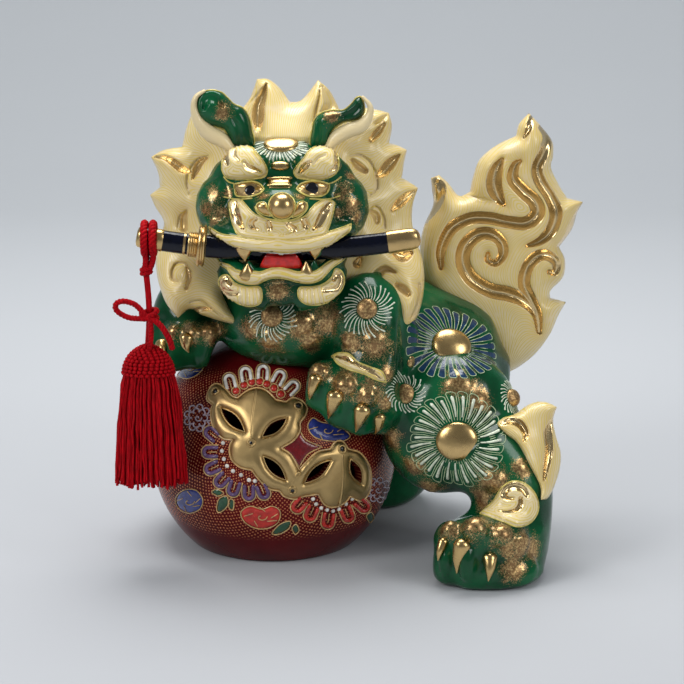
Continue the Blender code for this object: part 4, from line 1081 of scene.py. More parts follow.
class LION_OT_head(bpy.types.Operator):
    """Head casting with brows, eyes, nose, muzzle, lips, fangs, tongue and beard"""
    bl_idname = "lion.head"
    bl_label = "Head"

    def execute(self, context):
        self.skin()
        self.features()
        return {"FINISHED"}

    def skin(self):
        mesh = cast_skin("head_skin", ("head",), 1.0, swell=0.1, smooth=4)
        seen = Carrier(*node_items("head"))
        dabs = [(seen.spot(px, py)[0], size, 0.8) for px, py, size in HEAD_DABS]
        dab_gold(mesh, dabs)
        self.head = piece_from(mesh, "head_skin", get_finish("green_glaze"))
        hand_over(self.head, "lion", "green", "head")
        mesh = cast_skin("jaw_skin", ("lower_jaw",), 1.0, swell=0.1, smooth=4)
        dab_gold(mesh, [(Carrier(*node_items("lower_jaw")).spot(*CHIN_DAB)[0], 8, 1.0)])
        self.jaw = piece_from(mesh, "jaw_skin", get_finish("green_glaze"))
        hand_over(self.jaw, "lion", "green", "lower_jaw")

    def features(self):
        top, low = Carrier(self.head), Carrier(self.jaw)
        cream, gold, eyes, pupils, edge, slip = Clay(), Clay(), Clay(), Clay(), Clay(), Clay()
        for loop, grooves in BROWS:
            overlay(cream, top, outline(loop), 2.6, 8, grooves=grooves, edge=edge)
        overlay(cream, top, outline(MUZZLE), 2.6, 6, grooves=MUZZLE_HOLLOWS, edge=edge)
        overlay(cream, top, outline(UPPER_LIP), 3.0, 6, edge=edge)
        overlay(cream, low, outline(LOWER_LIP), 2.4, 5, edge=edge)
        for loop, grooves in BEARD:
            overlay(cream, low, outline(loop), 3.2, 8, grooves=grooves, edge=edge)
        for loop, _, _ in EYES:
            rim = outline(loop)
            overlay(eyes, top, rim, 1.8, 6, gap=1.2)
            rim_line(edge, top, rim, 0.5, 0.6)
        for lid in LIDS:
            stroke(edge, top, lid, 0.5)
        stud(gold, top, *NOSE, 7.4, 7.0, low=-0.6)
        stud(gold, top, *BRIDGE_STUD, 3.0, 2.2, stretch=1.95)
        overlay(gold, top, outline(NOSE_BRIDGE), 1.8, 3, gap=1.2)
        for bar in BRIDGE_BARS:
            stroke(gold, top, bar, 0.9, 1.4)
        for wing in NOSE_WINGS:
            overlay(gold, top, outline(wing), 1.6, 4, gap=1.2, edge=edge)
        wide, high = NOSE_RING
        ring = [(NOSE[0] + wide * cos(a), NOSE[1] + 0.5 + high * sin(a)) for a in turns(16, True)]
        stroke(edge, top, ring, 0.6)
        stroke(edge, top, NOSE_CREASE, 0.5)
        stud(gold, top, *FOREHEAD_STUD, 8.0, 2.6, stretch=1.3)
        # White rays of the forehead flower, spread wide and close as a painted highlight too.
        for k, a in enumerate(np.linspace(-1.62, 1.62, RAY_COUNT)):
            run = np.linspace(9.5, 20.5 + 1.6 * sin(5.0 * k), 5)
            turn = a + 0.01 * (run - 10)
            ray = np.column_stack((run * np.sin(turn), run * np.cos(turn))) * RAYS_SPREAD + RAYS_FROM
            stroke(slip, top, ray, 0.36 + 0.3 * (k % 2), 0.15, 2)
        teeth = Clay()
        overlay(teeth, top, outline(UPPER_TEETH), 1.6, 3, gap=1.2)
        teeth.hand_over("upper_teeth", "white_enamel", "lion", "ivory")
        for root, tip, depths, thick, slim in FANGS:
            root, tip = on_depth(*root, depths[0]), on_depth(*tip, depths[1])
            loft(gold, ((*root, *thick), (*((root + tip) / 2), *slim), (*tip, 0.5, 0.5)), sides=12)
        slip.hand_over("forehead_rays", "white_slip", "lion", "ivory")
        cream.hand_over("face_ivory", "ivory_hair", "lion", "ivory")
        gold.hand_over("face_gold", "gilding", "lion", "gold")
        eyeballs = Carrier(eyes.hand_over("eye_gilding", "gilding", "lion", "gold"))
        for _, pupil, size in EYES:
            place, normal = eyeballs.spot(*pupil)
            a, b, n = facing_axes(normal + np.array((0, -0.7, 0)))
            ball_shape(pupils, place + n * 0.5, (a * size * PIXEL, b * size * PIXEL, n * 0.8), low=-0.9)
        pupils.hand_over("pupils", "black_enamel", "lion", "black")
        edge.hand_over("face_lines", "yellow_line", "lion", "gold")
        tongue = Clay()
        loft(tongue, ((FACE_X, -54, 190.5, 10, 3.6), (FACE_X, -68, 191, 12, 3.6),
                      (FACE_X, -78.5, 193.5, 12.5, 3.2), (FACE_X, -81, 200, 9.5, 2.6),
                      (FACE_X, -80, 203, 6, 2)), facing=(0, 0, 1), sides=24)
        tongue.hand_over("tongue_red", "tongue_enamel", "lion", "tongue", "tongue")


# Ears: a green fold and a pale lip below it

EAR_Y = -44.0
# An ear: its solid, outline, hollows, the lip's stations of (x, y, half width, half depth), a dab of gold
EARS = (
    ("far_ear",
     ((253, 146), (252, 130), (249, 117), (243, 108), (234, 104), (228, 98), (221, 92), (210, 90),
      (200, 94), (196, 103), (197, 116), (206, 124), (216, 127), (224, 130), (229, 138), (231, 147)),
     ((((204, 108, 3), (206, 100, 6), (214, 98, 6), (222, 106, 3)), 3.0, 0.0),
      (((232, 118, 2), (238, 128, 4), (240, 142, 3)), 1.4, 0.0)),
     ((232, 149, 4, 4), (222, 140, 7, 4.5), (209, 133, 7.5, 4.5), (199, 122, 5.5, 4), (194, 108, 3.4, 3),
      (196, 97, 2.4, 2.4), (204, 91, 1.6, 1.8)),
     (222, 112)),
    ("near_ear",
     ((311, 146), (312, 130), (315, 119), (321, 113), (332, 110), (343, 110), (351, 104), (356, 98),
      (361, 97), (364, 104), (364, 113), (357, 120), (345, 122), (336, 127), (330, 135), (328, 146)),
     ((((344, 116, 3), (354, 112, 4.5), (360, 105, 2.5)), 2.4, 0.0),
      (((319, 122, 2), (319, 134, 3.5), (318, 144, 2.5)), 1.4, 0.0)),
     ((328, 148, 4, 4), (336, 138, 6.5, 4.5), (348, 131, 7, 4.5), (361, 126, 6.5, 4), (369, 116, 4, 3),
      (370, 106, 2.6, 2.4), (363, 97, 1.4, 1.6)),
     (331, 116)),
)


class LION_OT_ears(bpy.types.Operator):
    """Cupped ears, green inside with a pale lip"""
    bl_idname = "lion.ears"
    bl_label = "Ears"

    def execute(self, context):
        edge = Clay()
        for name, loop, hollows, lip, dab in EARS:
            green, pale = Clay(), Clay()
            rim = outline(loop)
            carved_plate(green, rim, hollows,
                         lambda flat, inset, carve: EAR_Y - 7.5 * dome(inset, 12) + carve * dome(inset, 6),
                         lambda flat, inset, carve: EAR_Y + 6.5 * dome(inset, 12), gap=1.4)
            cup = green.piece(name + "_cup", "green_glaze")
            cup.data.attributes.remove(cup.data.attributes["gilt"])
            dab_gold(cup.data, [(on_depth(*dab, EAR_Y - 6), 7, 0.9)])
            hand_over(cup, "lion", "green", name)
            stations = [(*on_depth(px, py, EAR_Y - 3), half * PIXEL, deep) for px, py, half, deep in lip]
            loft(pale, stations, sides=20, flow=0.5)
            pale.hand_over(name + "_lip", "ivory_hair", "lion", "ivory")
            tube(edge, on_depth(*looped(rim).T, EAR_Y - 1.0), 0.5, 6)
        edge.hand_over("ear_lines", "yellow_line", "lion", "gold")
        return {"FINISHED"}


# Carved hair: the mane and the tail

def hair_flow(flat, loop, tips, grooves, curls):
    """A value whose level lines gather at the tips of the locks and part round the hollows.

    It holds along the rim from one tip to the next and steps up at each tip. From the last tip back to
    the first the rim is free. Inside a curl, (x, y, number of its groove, rise), the lines go round.
    """
    rim = evenly(loop, 2.0)
    marks = [int(np.argmin(norm(rim - np.array(tip), axis=1))) for tip in tips]
    anchors, values, level, before = [], [], 0.0, None
    for start, end in zip(marks, marks[1:]):
        run = rim[np.arange(start, end if end > start else end + len(rim)) % len(rim)]
        middle = run[len(run) // 2]
        if before is not None:
            level += norm(middle - before)
        before = middle
        anchors.append(run)
        values.append(np.full(len(run), level))

    def spread(points):
        held, known = np.vstack(anchors), np.concatenate(values)
        parts = []
        for some in np.array_split(points, len(points) // 500 + 1):
            near = 1 / np.maximum(((some[:, None] - held) ** 2).sum(2), 0.1)
            parts.append(near @ known / near.sum(1))
        return np.concatenate(parts)

    lines = [evenly(spline(stations)[:, :2], 2.0, closed=False) for stations, _, _ in grooves]
    levels = [np.full(len(line), spread(line).mean()) for line in lines]
    for x, y, k, rise in curls:
        turn = turns(10)
        lines.append(np.column_stack((x + 3 * np.cos(turn), y + 3 * np.sin(turn))))
        levels.append(np.full(10, levels[k][0] + rise))
    anchors += lines
    values += levels
    return spread(flat)


def steepness(values, flat, faces):
    """How fast values change across a flat mesh, at its points."""
    corners = np.array(faces)
    first, second, third = corners.T
    ax, ay = (flat[second] - flat[first]).T
    bx, by = (flat[third] - flat[first]).T
    up, over = values[second] - values[first], values[third] - values[first]
    slope = np.hypot(up * by - over * ay, over * ax - up * bx)
    area = np.abs(ax * by - ay * bx)
    total = [sum(np.bincount(corners[:, k], part, minlength=len(flat)) for k in range(3))
             for part in (slope, area)]
    return total[0] / np.maximum(total[1], 1e-9)


def carved_plate(clay, loop, grooves, front, back, gap=1.5, rounds=8, tips=(), curls=(), puff=0.0):
    """A thick plate seen from the front, its face and back carved with gilt grooves.

    front and back give Y from the pixel, the distance to the rim in pixels and the carving depth in
    millimetres.
    Between the grooves the locks swell by puff millimetres. With tips, drawn hair runs to them.
    """
    flat, faces, rim = filled(loop, gap)
    bound = np.zeros(len(flat), bool)
    bound[:rim] = True
    flow = away_from(flat, loop, True)
    edge = evened(flow, faces, bound, rounds)
    # wash is a gold wash and painted shade, strongest at the gilt grooves and fading into the ivory.
    carve, gilt, wash = np.zeros((3, len(flat)))
    for stations, depth, gold in grooves:
        near, plain = track(flat, stations)
        carve = np.maximum(carve, depth * gouge(near))
        gilt = np.maximum(gilt, gold * eased((1.15 - near) / 0.3))
        wash = np.maximum(wash, sqrt(gold) * np.exp(-(plain / 11) ** 2))
        flow = np.minimum(flow, plain)
    held = bound | (flow < gap)
    flow = evened(flow, faces, bound, 6)
    carve = carve - puff * dome(flow, 16.0)
    octave = np.zeros(len(flat))
    if tips:
        flow = evened(hair_flow(flat, loop, tips, grooves, curls), faces, held, 240)
        slope = np.clip(steepness(flow, flat, faces), 0.06, 8.0)
        octave = evened(-np.log2(slope), faces, np.zeros(len(flat), bool), 10)
    face = on_depth(flat[:, 0], flat[:, 1], front(flat, edge, carve))
    middle = on_depth(flat[:, 0], flat[:, 1], front(flat, np.zeros(len(flat)), np.zeros(len(flat))))
    rear = middle.copy()
    rear[:, 1] = back(flat, edge, carve)
    face[bound] = middle[bound]
    faces = wound(flat, faces, -1)
    count = len(flat)
    mirror = [tuple(k if bound[k] else k + count for k in reversed(f)) for f in faces]
    used = np.zeros(2 * count, bool)
    for f in faces + mirror:
        used[list(f)] = True
    places = np.cumsum(used) - 1
    both = np.vstack((face, rear))[used]
    layers = {"gilt": gilt, "flow": flow * PIXEL, "octave": octave, "wash": wash}
    clay.add(both, [tuple(places[k] for k in f) for f in faces + mirror],
             **{name: np.tile(v, 2)[used] for name, v in layers.items()})


def dome(edge, reach):
    return np.sqrt(np.clip(1 - (1 - np.clip(edge / reach, 0, 1)) ** 2, 0, 1))


TAIL_Y = 17.0
TAIL_LOOP = (
    (431, 178, 1), (439, 175, 1), (448, 183), (459, 196), (470, 192, 1), (473, 177), (480, 159), (497, 145),
    (516, 136, 1), (519, 124), (529, 113, 1), (540, 125), (552, 141), (553, 156), (551, 168), (559, 185),
    (567, 198, 1), (583, 202, 1), (577, 213), (572, 229), (559, 247, 1), (565, 260), (563, 277), (551, 290),
    (550, 298, 1), (566, 302, 1), (558, 316), (550, 334), (535, 354), (515, 369), (500, 372), (486, 352),
    (474, 334), (452, 318), (430, 296), (421, 270), (420, 247), (424, 226), (433, 205), (432, 190),
)
TAIL_GROOVES = (
    (((441, 268, 2), (441, 250, 4), (450, 230, 5), (468, 219, 5), (488, 218, 5), (508, 222, 5),
      (526, 223, 5.5), (537, 214, 6), (535, 202, 6), (523, 191, 5.5), (513, 179, 5), (515, 166, 3.5),
      (520, 161, 1.5)), 3.6, 1.0),
    (((538, 332, 1.5), (535, 314, 3), (524, 301, 5), (508, 294, 6), (490, 290, 6), (472, 279, 6),
      (463, 263, 6), (465, 247, 6), (477, 235, 5.5), (491, 234, 5), (501, 242, 4.5), (503, 254, 4),
      (496, 263, 3), (488, 260, 2.5), (488, 254, 2)), 3.6, 1.0),
    (((540, 127, 1.5), (547, 138, 3.5), (544, 152, 4.5), (537, 167, 4.5), (540, 181, 5), (550, 197, 5),
      (556, 213, 5.5), (551, 230, 5), (540, 241, 3.5), (527, 246, 1.5)), 3.4, 1.0),
    (((502, 159, 1.5), (496, 171, 5.5), (494, 184, 6.5), (497, 195, 5.5), (504, 205, 1.5)), 3.8, 1.0),
    (((463, 195, 0.8), (480, 198, 1.2), (493, 201.5, 1.4), (505, 206, 0.8)), 1.6, 0.2),
    (((540, 333, 1.5), (538, 315, 3.5), (531, 300, 4.5), (524, 284, 5), (527, 268, 5), (536, 257, 5),
      (547, 255, 4.5), (556, 262, 4), (555, 272, 3), (549, 272, 2)), 3.4, 1.0),
    (((581, 206, 1), (575, 220, 3), (567, 237, 3), (558, 246, 1)), 2.4, 0.8),
    (((531, 117, 1.5), (529, 128, 3), (524, 138, 1)), 2.2, 0.8),
    (((435, 180, 2.5), (441, 188, 4.5), (437, 204, 4), (426, 222, 1.5)), 2.6, 0.8),
)
TAIL_WIDEN = 1.3
TAIL_TIPS = ((505, 372), (434, 177), (529, 113), (583, 202), (566, 302), (512, 371))
TAIL_CURLS = ((487, 254, 1, 34), (549, 270, 5, 24))


class LION_OT_tail(bpy.types.Operator):
    """Flame-shaped tail carved with gilt curls on both faces"""
    bl_idname = "lion.tail"
    bl_label = "Tail"

    def execute(self, context):
        clay = Clay()

        def thick(edge, carve):
            return 12.5 * dome(edge, 24.0) - carve * dome(edge, 12)

        grooves = [([(x, y, half * TAIL_WIDEN) for x, y, half in stations], *rest)
                   for stations, *rest in TAIL_GROOVES]
        carved_plate(clay, outline(TAIL_LOOP), grooves,
                     lambda flat, edge, carve: TAIL_Y - thick(edge, carve),
                     lambda flat, edge, carve: TAIL_Y + thick(edge, carve),
                     gap=1.2, tips=TAIL_TIPS, curls=TAIL_CURLS, puff=3.8)
        clay.hand_over("tail_plume", "ivory_hair", "lion", "ivory", "tail")
        return {"FINISHED"}


MANE_LOOP = (
    (257, 79, 1), (268, 79), (279, 87), (290, 102, 1), (300, 101), (309, 92), (318, 80, 1), (330, 91),
    (341, 112, 1), (362, 108), (378, 110), (389, 113, 1), (392, 126), (389, 143, 1), (399, 146),
    (407, 150, 1), (404, 163), (402, 178, 1), (411, 183), (418, 188, 1), (413, 204), (412, 222), (416, 240),
    (423, 262), (424, 288), (419, 312), (407, 333), (393, 346, 1), (396, 328), (393, 306), (382, 290),
    (372, 301, 1), (364, 286), (340, 284), (300, 288), (262, 288), (236, 286), (222, 290), (230, 310),
    (242, 326, 1), (224, 322), (202, 315), (190, 309), (178, 318, 1), (166, 303), (158, 280), (156, 258),
    (160, 238), (164, 222), (156, 208), (150, 195, 1), (160, 187, 1), (158, 172), (151, 157, 1), (164, 150),
    (182, 147, 1), (187, 126), (198, 106), (222, 100), (243, 108, 1), (250, 98), (254, 88),
)
# Hollows of (x, y, half width) stations, with their depth and gilding. A narrow one is a drawn line.
MANE_GROOVES = (
    (((155, 157, 1.5), (165, 158, 3), (174, 163, 4.5), (182, 169, 4.5), (190, 172, 2)), 3.6, 0.9),
    (((207, 158, 1.5), (200, 163, 4), (196, 170, 4), (193, 179, 1.5)), 3.2, 0.85),
    (((208, 156, 0.9), (197, 160, 1.2), (189, 172, 1.5), (187, 184, 1.4), (190, 195, 0.9)), 1.6, 0.1),
    (((151, 198, 1.5), (156, 205, 3.5), (161, 215, 4.5), (166, 228, 3)), 2.6, 0.55),
    (((187, 212, 1.2), (184, 218, 4), (184, 228, 4.5)), 2.6, 0.75),
    (((187, 210, 0.9), (180, 217, 1.2), (178, 227, 1.1)), 1.4, 0.1),
    (((191, 272, 1), (185, 263, 1.4), (176, 264, 1.6), (172, 272, 1.8), (173, 280, 1.8), (178, 281, 1)),
     2.2, 0.3),
    (((187, 268, 2), (189, 278, 3.4), (186, 289, 2)), 1.6, 0.85),
    (((190, 302, 0.9), (200, 300, 1.2), (206, 303, 1.4), (214, 310, 1.4), (224, 318, 0.9)), 1.8, 0.3),
    (((187, 311, 2), (195, 311, 3.6), (203, 309, 3.2), (211, 309, 1.5)), 3.0, 0.9),
    (((266, 84, 1.5), (263, 95, 4.5), (259, 106, 6.5), (258, 117, 7), (258, 129, 3)), 4.4, 0.85),
    (((262, 88, 0.9), (257, 95, 1.2), (250, 103, 1.2), (243, 111, 0.9)), 1.8, 0.5),
    (((320, 86, 0.9), (319, 97, 1.6), (316, 110, 2.2), (314, 122, 1.2)), 2.6, 0.5),
    (((322, 86, 1.5), (328, 95, 6), (331, 104, 8), (326, 113, 6)), 3.0, 0.65),
    (((388, 114, 1.5), (383, 119, 3.5), (376, 123, 2)), 2.6, 0.6),
    (((384, 124, 2.5), (378, 132, 4.5), (371, 140, 3)), 2.8, 0.9),
    (((399, 155, 1.5), (391, 163, 6), (383, 172, 5.5), (377, 176, 2)), 3.6, 0.9),
    (((352, 160, 2), (358, 166, 4.5), (365, 171, 3.5)), 3.2, 0.75),
    (((350, 156, 0.9), (360, 155, 1.2), (370, 162, 1.5), (376, 175, 1.5), (377, 188, 1.4), (370, 196, 0.9)),
     1.8, 0.2),
    (((415, 191, 1.5), (408, 196, 4.5), (400, 203, 5), (392, 210, 2)), 3.4, 0.9),
    (((371, 212, 2.5), (376, 216, 4.5), (377, 222, 3)), 2.4, 0.7),
    (((367, 212, 0.9), (374, 206, 1.2), (380, 210, 1.5), (384, 219, 1.4), (385, 229, 0.9)), 1.8, 0.2),
    (((395, 272, 1.5), (385, 269, 4), (377, 275, 5), (373, 286, 4.5), (371, 297, 1.5)), 3.2, 0.8),
    (((360, 258, 2.5), (357, 264, 5)), 2.4, 0.95),
    (((397, 285, 3), (403, 289, 5), (408, 294, 3.5)), 2.8, 0.8),
    (((419, 284, 1.5), (420, 296, 3), (417, 308, 3), (411, 319, 1.5)), 2.2, 0.75),
    (((395, 254, 3), (403, 257, 6), (411, 253, 3)), 2.6, 0.95),
)

MANE_TIPS = ((242, 326), (178, 318), (150, 195), (151, 157), (205, 103), (257, 79), (318, 80), (389, 113),
             (407, 150), (418, 188), (393, 346), (372, 301))
MANE_GILT = 0.7
# Pixel row where the mane's rim starts to come forward, and the pixels of the rise over the forehead
MANE_LEAN = 215
CROWN_X, CROWN_TOP, CROWN_FOOT = 283, 88, 136


class LION_OT_mane(bpy.types.Operator):
    """Mane of carved locks round the face"""
    bl_idname = "lion.mane"
    bl_label = "Mane"

    def execute(self, context):
        clay = Clay()

        def rim_y(flat):
            return -16.0 - 28.0 * eased((flat[:, 1] - MANE_LEAN) / 110.0)

        def front(flat, edge, carve):
            inward = eased(edge / 62.0)
            crown = np.exp(-((flat[:, 0] - CROWN_X) / 40.0) ** 2) * eased((flat[:, 1] - CROWN_TOP) / 48.0)
            crown *= 1 - eased((flat[:, 1] - CROWN_FOOT) / 14.0)
            face = rim_y(flat) - 9.0 * dome(edge, 14.0) - 16.0 * inward - 8.0 * crown
            return face + 1.3 * carve * dome(edge, 9.0)

        def back(flat, edge, carve):
            inward = (12.0 - rim_y(flat)) * eased(edge / 60.0)
            return rim_y(flat) + 8.0 * dome(edge, 14.0) + inward - carve * dome(edge, 9.0)

        grooves = [(stations, depth, gold * MANE_GILT) for stations, depth, gold in MANE_GROOVES]
        carved_plate(clay, outline(MANE_LOOP), grooves, front, back, gap=1.25, rounds=30, tips=MANE_TIPS,
                     puff=2.8)
        clay.hand_over("mane_locks", "ivory_hair", "lion", "ivory", "mane")
        return {"FINISHED"}


# Tufts on the hocks and the curl on the ankle

TUFT_LOOP = ((497, 424), (503, 417, 1), (515, 414), (530, 404), (545, 402), (557, 407, 1), (553, 420),
             (556, 436), (561, 455), (558, 476), (549, 497), (541, 500, 1), (540, 486), (530, 466),
             (518, 444), (506, 434))
TUFT_GROOVES = (
    (((502, 424, 2), (510, 421, 3.5), (520, 424, 4.5), (526, 434, 3), (524, 441, 1.5)), 2.6, 0.95),
    (((552, 419, 1), (548, 432, 4.5), (549, 450, 4.5), (546, 468, 3.5), (544, 480, 1.5)), 2.8, 0.9),
)
CURL_LOOP = ((480, 514, 1), (494, 500), (502, 487), (514, 481), (527, 485), (536, 496), (538, 510),
             (531, 522), (518, 527), (503, 522))
TUFT_TIPS = ((541, 500), (500, 420), (557, 407), (545, 498))
CURL_GROOVES = (
    (((500, 513, 0.8), (508, 513.5, 1.5), (515, 511, 2), (519.5, 505, 2.2), (520, 498, 1.6)), 2.4, 1.0),
    (((526, 496, 1.6), (522, 489, 3), (514, 486, 3.6), (506, 489, 3.6), (504.5, 495, 2.8), (508, 498.5, 2),
      (513, 498, 1.2)), 2.6, 1.0),
)
WRIST_LOOP = ((332, 356, 1), (339, 353), (349, 354), (358, 362), (370, 367), (382, 372), (386, 382, 1),
              (377, 380), (364, 374), (350, 370), (338, 364))
WRIST_GROOVES = ((((338, 357.5, 1.5), (348, 359.5, 2.2), (360, 366, 1.8), (372, 371.5, 2), (381, 378, 1)),
                  1.7, 1.0),)


class LION_OT_tufts(bpy.types.Operator):
    """Hock tufts, ankle curl and wrist lock"""
    bl_idname = "lion.tufts"
    bl_label = "Tufts and curls"

    def execute(self, context):
        near, rest, edge = Clay(), Clay(), Clay()
        body = Carrier(bpy.data.objects["body_skin"])

        def terms(flat):
            x, y = (flat - np.array(TUFT_LOOP[0][:2])).T / 50
            return np.column_stack((np.ones(len(flat)), x, y, x * x, x * y, y * y))

        loop = outline(TUFT_LOOP)
        flat = filled(loop, 3.0)[0]
        solid = Carrier(*node_items("near_hock_tuft"))
        found = [(p, solid.seen(*p)) for p in flat]
        pixels, depths = zip(*((p, hit[0][1]) for p, hit in found if hit is not None))
        bend = np.linalg.lstsq(terms(np.array(pixels)), np.array(depths), rcond=None)[0]

        def lean(flat):
            """The middle of the tuft follows the solid's front evenly."""
            return terms(flat) @ bend + 5.0

        def thick(edge, carve):
            return 6.5 * dome(edge, 12) - carve * dome(edge, 8)

        carved_plate(near, loop, TUFT_GROOVES, lambda flat, edge, carve: lean(flat) - thick(edge, carve),
                     lambda flat, edge, carve: lean(flat) + thick(edge, carve),
                     gap=1.2, tips=TUFT_TIPS, puff=1.0)
        near.hand_over("near_tuft", "ivory_hair", "lion", "ivory", "near_hock_tuft")
        overlay(rest, body, outline(CURL_LOOP), 4.0, 10, grooves=CURL_GROOVES, edge=edge)
        overlay(rest, body, outline(WRIST_LOOP), 2.4, 6, edge=edge, grooves=WRIST_GROOVES)
        rest.hand_over("ankle_and_wrist_locks", "ivory_hair", "lion", "ivory")
        edge.hand_over("lock_lines", "yellow_line", "lion", "gold")
        far = cast_skin("far_tuft", ("far_hock_tuft",), 0.9, swell=0.0, smooth=3)
        write_layer(far, "flow", mesh_points(far)[:, 0])
        hand_over(piece_from(far, "far_tuft", get_finish("ivory_hair")), "lion", "ivory", "far_hock_tuft")
        return {"FINISHED"}


# Raised flowers

def geometry_tree(name, **sockets):
    """A geometry tree with its sockets. Returns it, its given values by name and its output node."""
    tree = bpy.data.node_groups.new(name, "GeometryNodeTree")
    tree.interface.new_socket("Geometry", in_out="INPUT", socket_type="NodeSocketGeometry")
    for label, kind in sockets.items():
        tree.interface.new_socket(label.replace("_", " "), in_out="INPUT", socket_type="NodeSocket" + kind)
    tree.interface.new_socket("Geometry", in_out="OUTPUT", socket_type="NodeSocketGeometry")
    return tree, tree.nodes.new("NodeGroupInput").outputs, tree.nodes.new("NodeGroupOutput")


def geo(tree, kind, **inputs):
    """A geometry node's first output. An underscore stands for the space in a socket's name."""
    inputs = {key.replace("_", " "): value for key, value in inputs.items()}
    return node(tree, "GeometryNode" + kind, inputs).outputs[0]


def chance(tree, low, high, index, seed):
    inputs = {2: low, 3: high, "ID": index, "Seed": seed}
    return node(tree, "FunctionNodeRandomValue", inputs, data_type="FLOAT").outputs[1]


def loose_points(tree, count):
    """Points to set copies on, all at the origin."""
    return geo(tree, "MeshToPoints", Mesh=geo(tree, "MeshLine", Count=count, Offset=(0, 0, 0)))


def end_dressed(tree, end, geometry, material):
    tree.links.new(geo(tree, "SetMaterial", Geometry=geometry, Material=material), end.inputs[0])


def ring_tree():
    """Geometry nodes that set a petal round a centre and drop the ring on a surface."""
    tree, given, end = geometry_tree("Petal ring", Petal="Object", Surface="Object", Count="Int",
                                     Uneven="Float", Seed="Int", Material="Material")
    marks = loose_points(tree, given["Count"])
    petal = node(tree, "GeometryNodeObjectInfo", {"Object": given["Petal"]}).outputs["Geometry"]
    index = geo(tree, "InputIndex")
    spin = times(tree, math_node(tree, "DIVIDE", index, given["Count"]), tau)
    size = chance(tree, less(tree, 1.0, given["Uneven"]), 1.04, index, given["Seed"])
    turn = combine(tree, Z=spin)
    ring = geo(tree, "InstanceOnPoints", Points=marks, Instance=petal, Rotation=turn, Scale=size)
    solid = geo(tree, "RealizeInstances", Geometry=ring)
    below = node(tree, "GeometryNodeObjectInfo", {"Object": given["Surface"]}, transform_space="RELATIVE")
    here = node(tree, "ShaderNodeSeparateXYZ", {0: geo(tree, "InputPosition")}).outputs
    above = combine(tree, X=here[0], Y=here[1], Z=0.02)
    cast = node(tree, "GeometryNodeRaycast", {
        "Target Geometry": below.outputs["Geometry"], "Source Position": above,
        "Ray Direction": (0, 0, -1), "Ray Length": 0.06}).outputs
    seat = vector_math(tree, "ADD", cast["Hit Position"], combine(tree, Z=here[2]))
    laid = geo(tree, "SetPosition", Geometry=solid, Selection=cast["Is Hit"], Position=seat)
    end_dressed(tree, end, laid, given["Material"])
    return tree


def run_tree(tree, item, **inputs):
    """Sets a tree's inputs by identifier, evaluates it and returns a plain mesh in the row frame."""
    change = item.modifiers.new("nodes", "NODES")
    change.node_group = tree
    for socket in tree.interface.items_tree:
        key = socket.name.replace(" ", "_").lower()
        if socket.in_out == "INPUT" and key in inputs:
            change[socket.identifier] = inputs[key]
    place = item.matrix_world.copy()
    made = bake(item, item.name)
    made.transform(place)
    return made


def petal_loop(inner, outer, count, share):
    """A petal that flares from the heart to its blunt end, as (x, half width).

    It fills a share of its place in the ring.
    """
    near, far = pi * inner / count * share * 0.6, pi * outer / count * share
    long = outer - inner
    return ((inner, near), (inner + 0.5 * long, (near + far) * 0.5), (outer - 0.45 * far, far),
            (outer - 0.12 * far, far * 0.72), (outer, far * 0.25))


def bent(points, inner, outer, bend):
    return [(x, y + bend * max(0.0, (x - inner) / (outer - inner)) ** 2, z) for x, y, z in points]


def petal_edge(inner, outer, count, share, bend, line):
    """One petal's drawn edge, along +X in millimetres."""
    clay = Clay()
    half = petal_loop(inner, outer, count, share)
    edge = [(x, -y, 0.1) for x, y in half] + [(x, y, 0.1) for x, y in reversed(half)]
    tube(clay, bent(edge, inner, outer, bend), line, 5)
    return clay


def petal_core(inner, outer, bend, core):
    """A stroke down the middle of a petal, thick at its outer end."""
    clay = Clay()
    run = [(inner + (outer - inner) * t, 0.0, 0.15) for t in np.linspace(0.12, 0.82, 6)]
    tube(clay, bent(run, inner, outer, bend), np.linspace(core * 0.4, core, 6), 6)
    return clay


def petal_stroke(inner, outer, bend, line):
    """One curved stroke that ends in a dot."""
    clay = Clay()
    path = [(inner + (outer - inner) * t, bend * t * t, 0.1) for t in np.linspace(0, 1, 7)]
    tube(clay, path, np.array((line, line, line, line, line, line * 1.2, line * 1.7)), 6)
    return clay


def petal_fill(inner, outer, count, share, bend):
    """One flat coloured tongue."""
    half = petal_loop(inner, outer, count, share)
    loop = [(x, -y) for x, y in half] + [(x, y) for x, y in reversed(half)]
    flat, faces, _ = filled(outline(loop, 3), 1.2)
    flat[:, 1] += bend * np.clip((flat[:, 0] - inner) / (outer - inner), 0, 1) ** 2
    clay = Clay()
    clay.add(np.column_stack((flat, np.full(len(flat), 0.12))), wound(flat, faces, 1))
    return clay


# A flower: pixel of its middle, dome radius and petal reach in millimetres, petals, kind, how oval it is
# and its tilt in degrees
FLOWERS = (
    (451, 345.5, 12.4, 30.5, 27, "blue", 0.86, -12), (457, 441, 12.8, 31.0, 27, "white", 0.93, 0),
    (272, 316, 6.6, 15.0, 30, "swirl", 1.0, 0), (367, 309, 6.2, 16.0, 32, "swirl", 1.0, 0),
    (405, 394, 6.2, 12.0, 28, "swirl", 1.0, 0), (512, 398, 5.4, 11.0, 26, "swirl", 1.0, 0),
)
BACK_FLOWERS = (((66, 60, 128), (0.1, 1.0, 0.35), 9.0, 24.0, 28, "blue", 1.0, 0),
                ((46, 74, 88), (0.1, 1.0, 0.0), 9.0, 24.0, 30, "white", 1.0, 0))


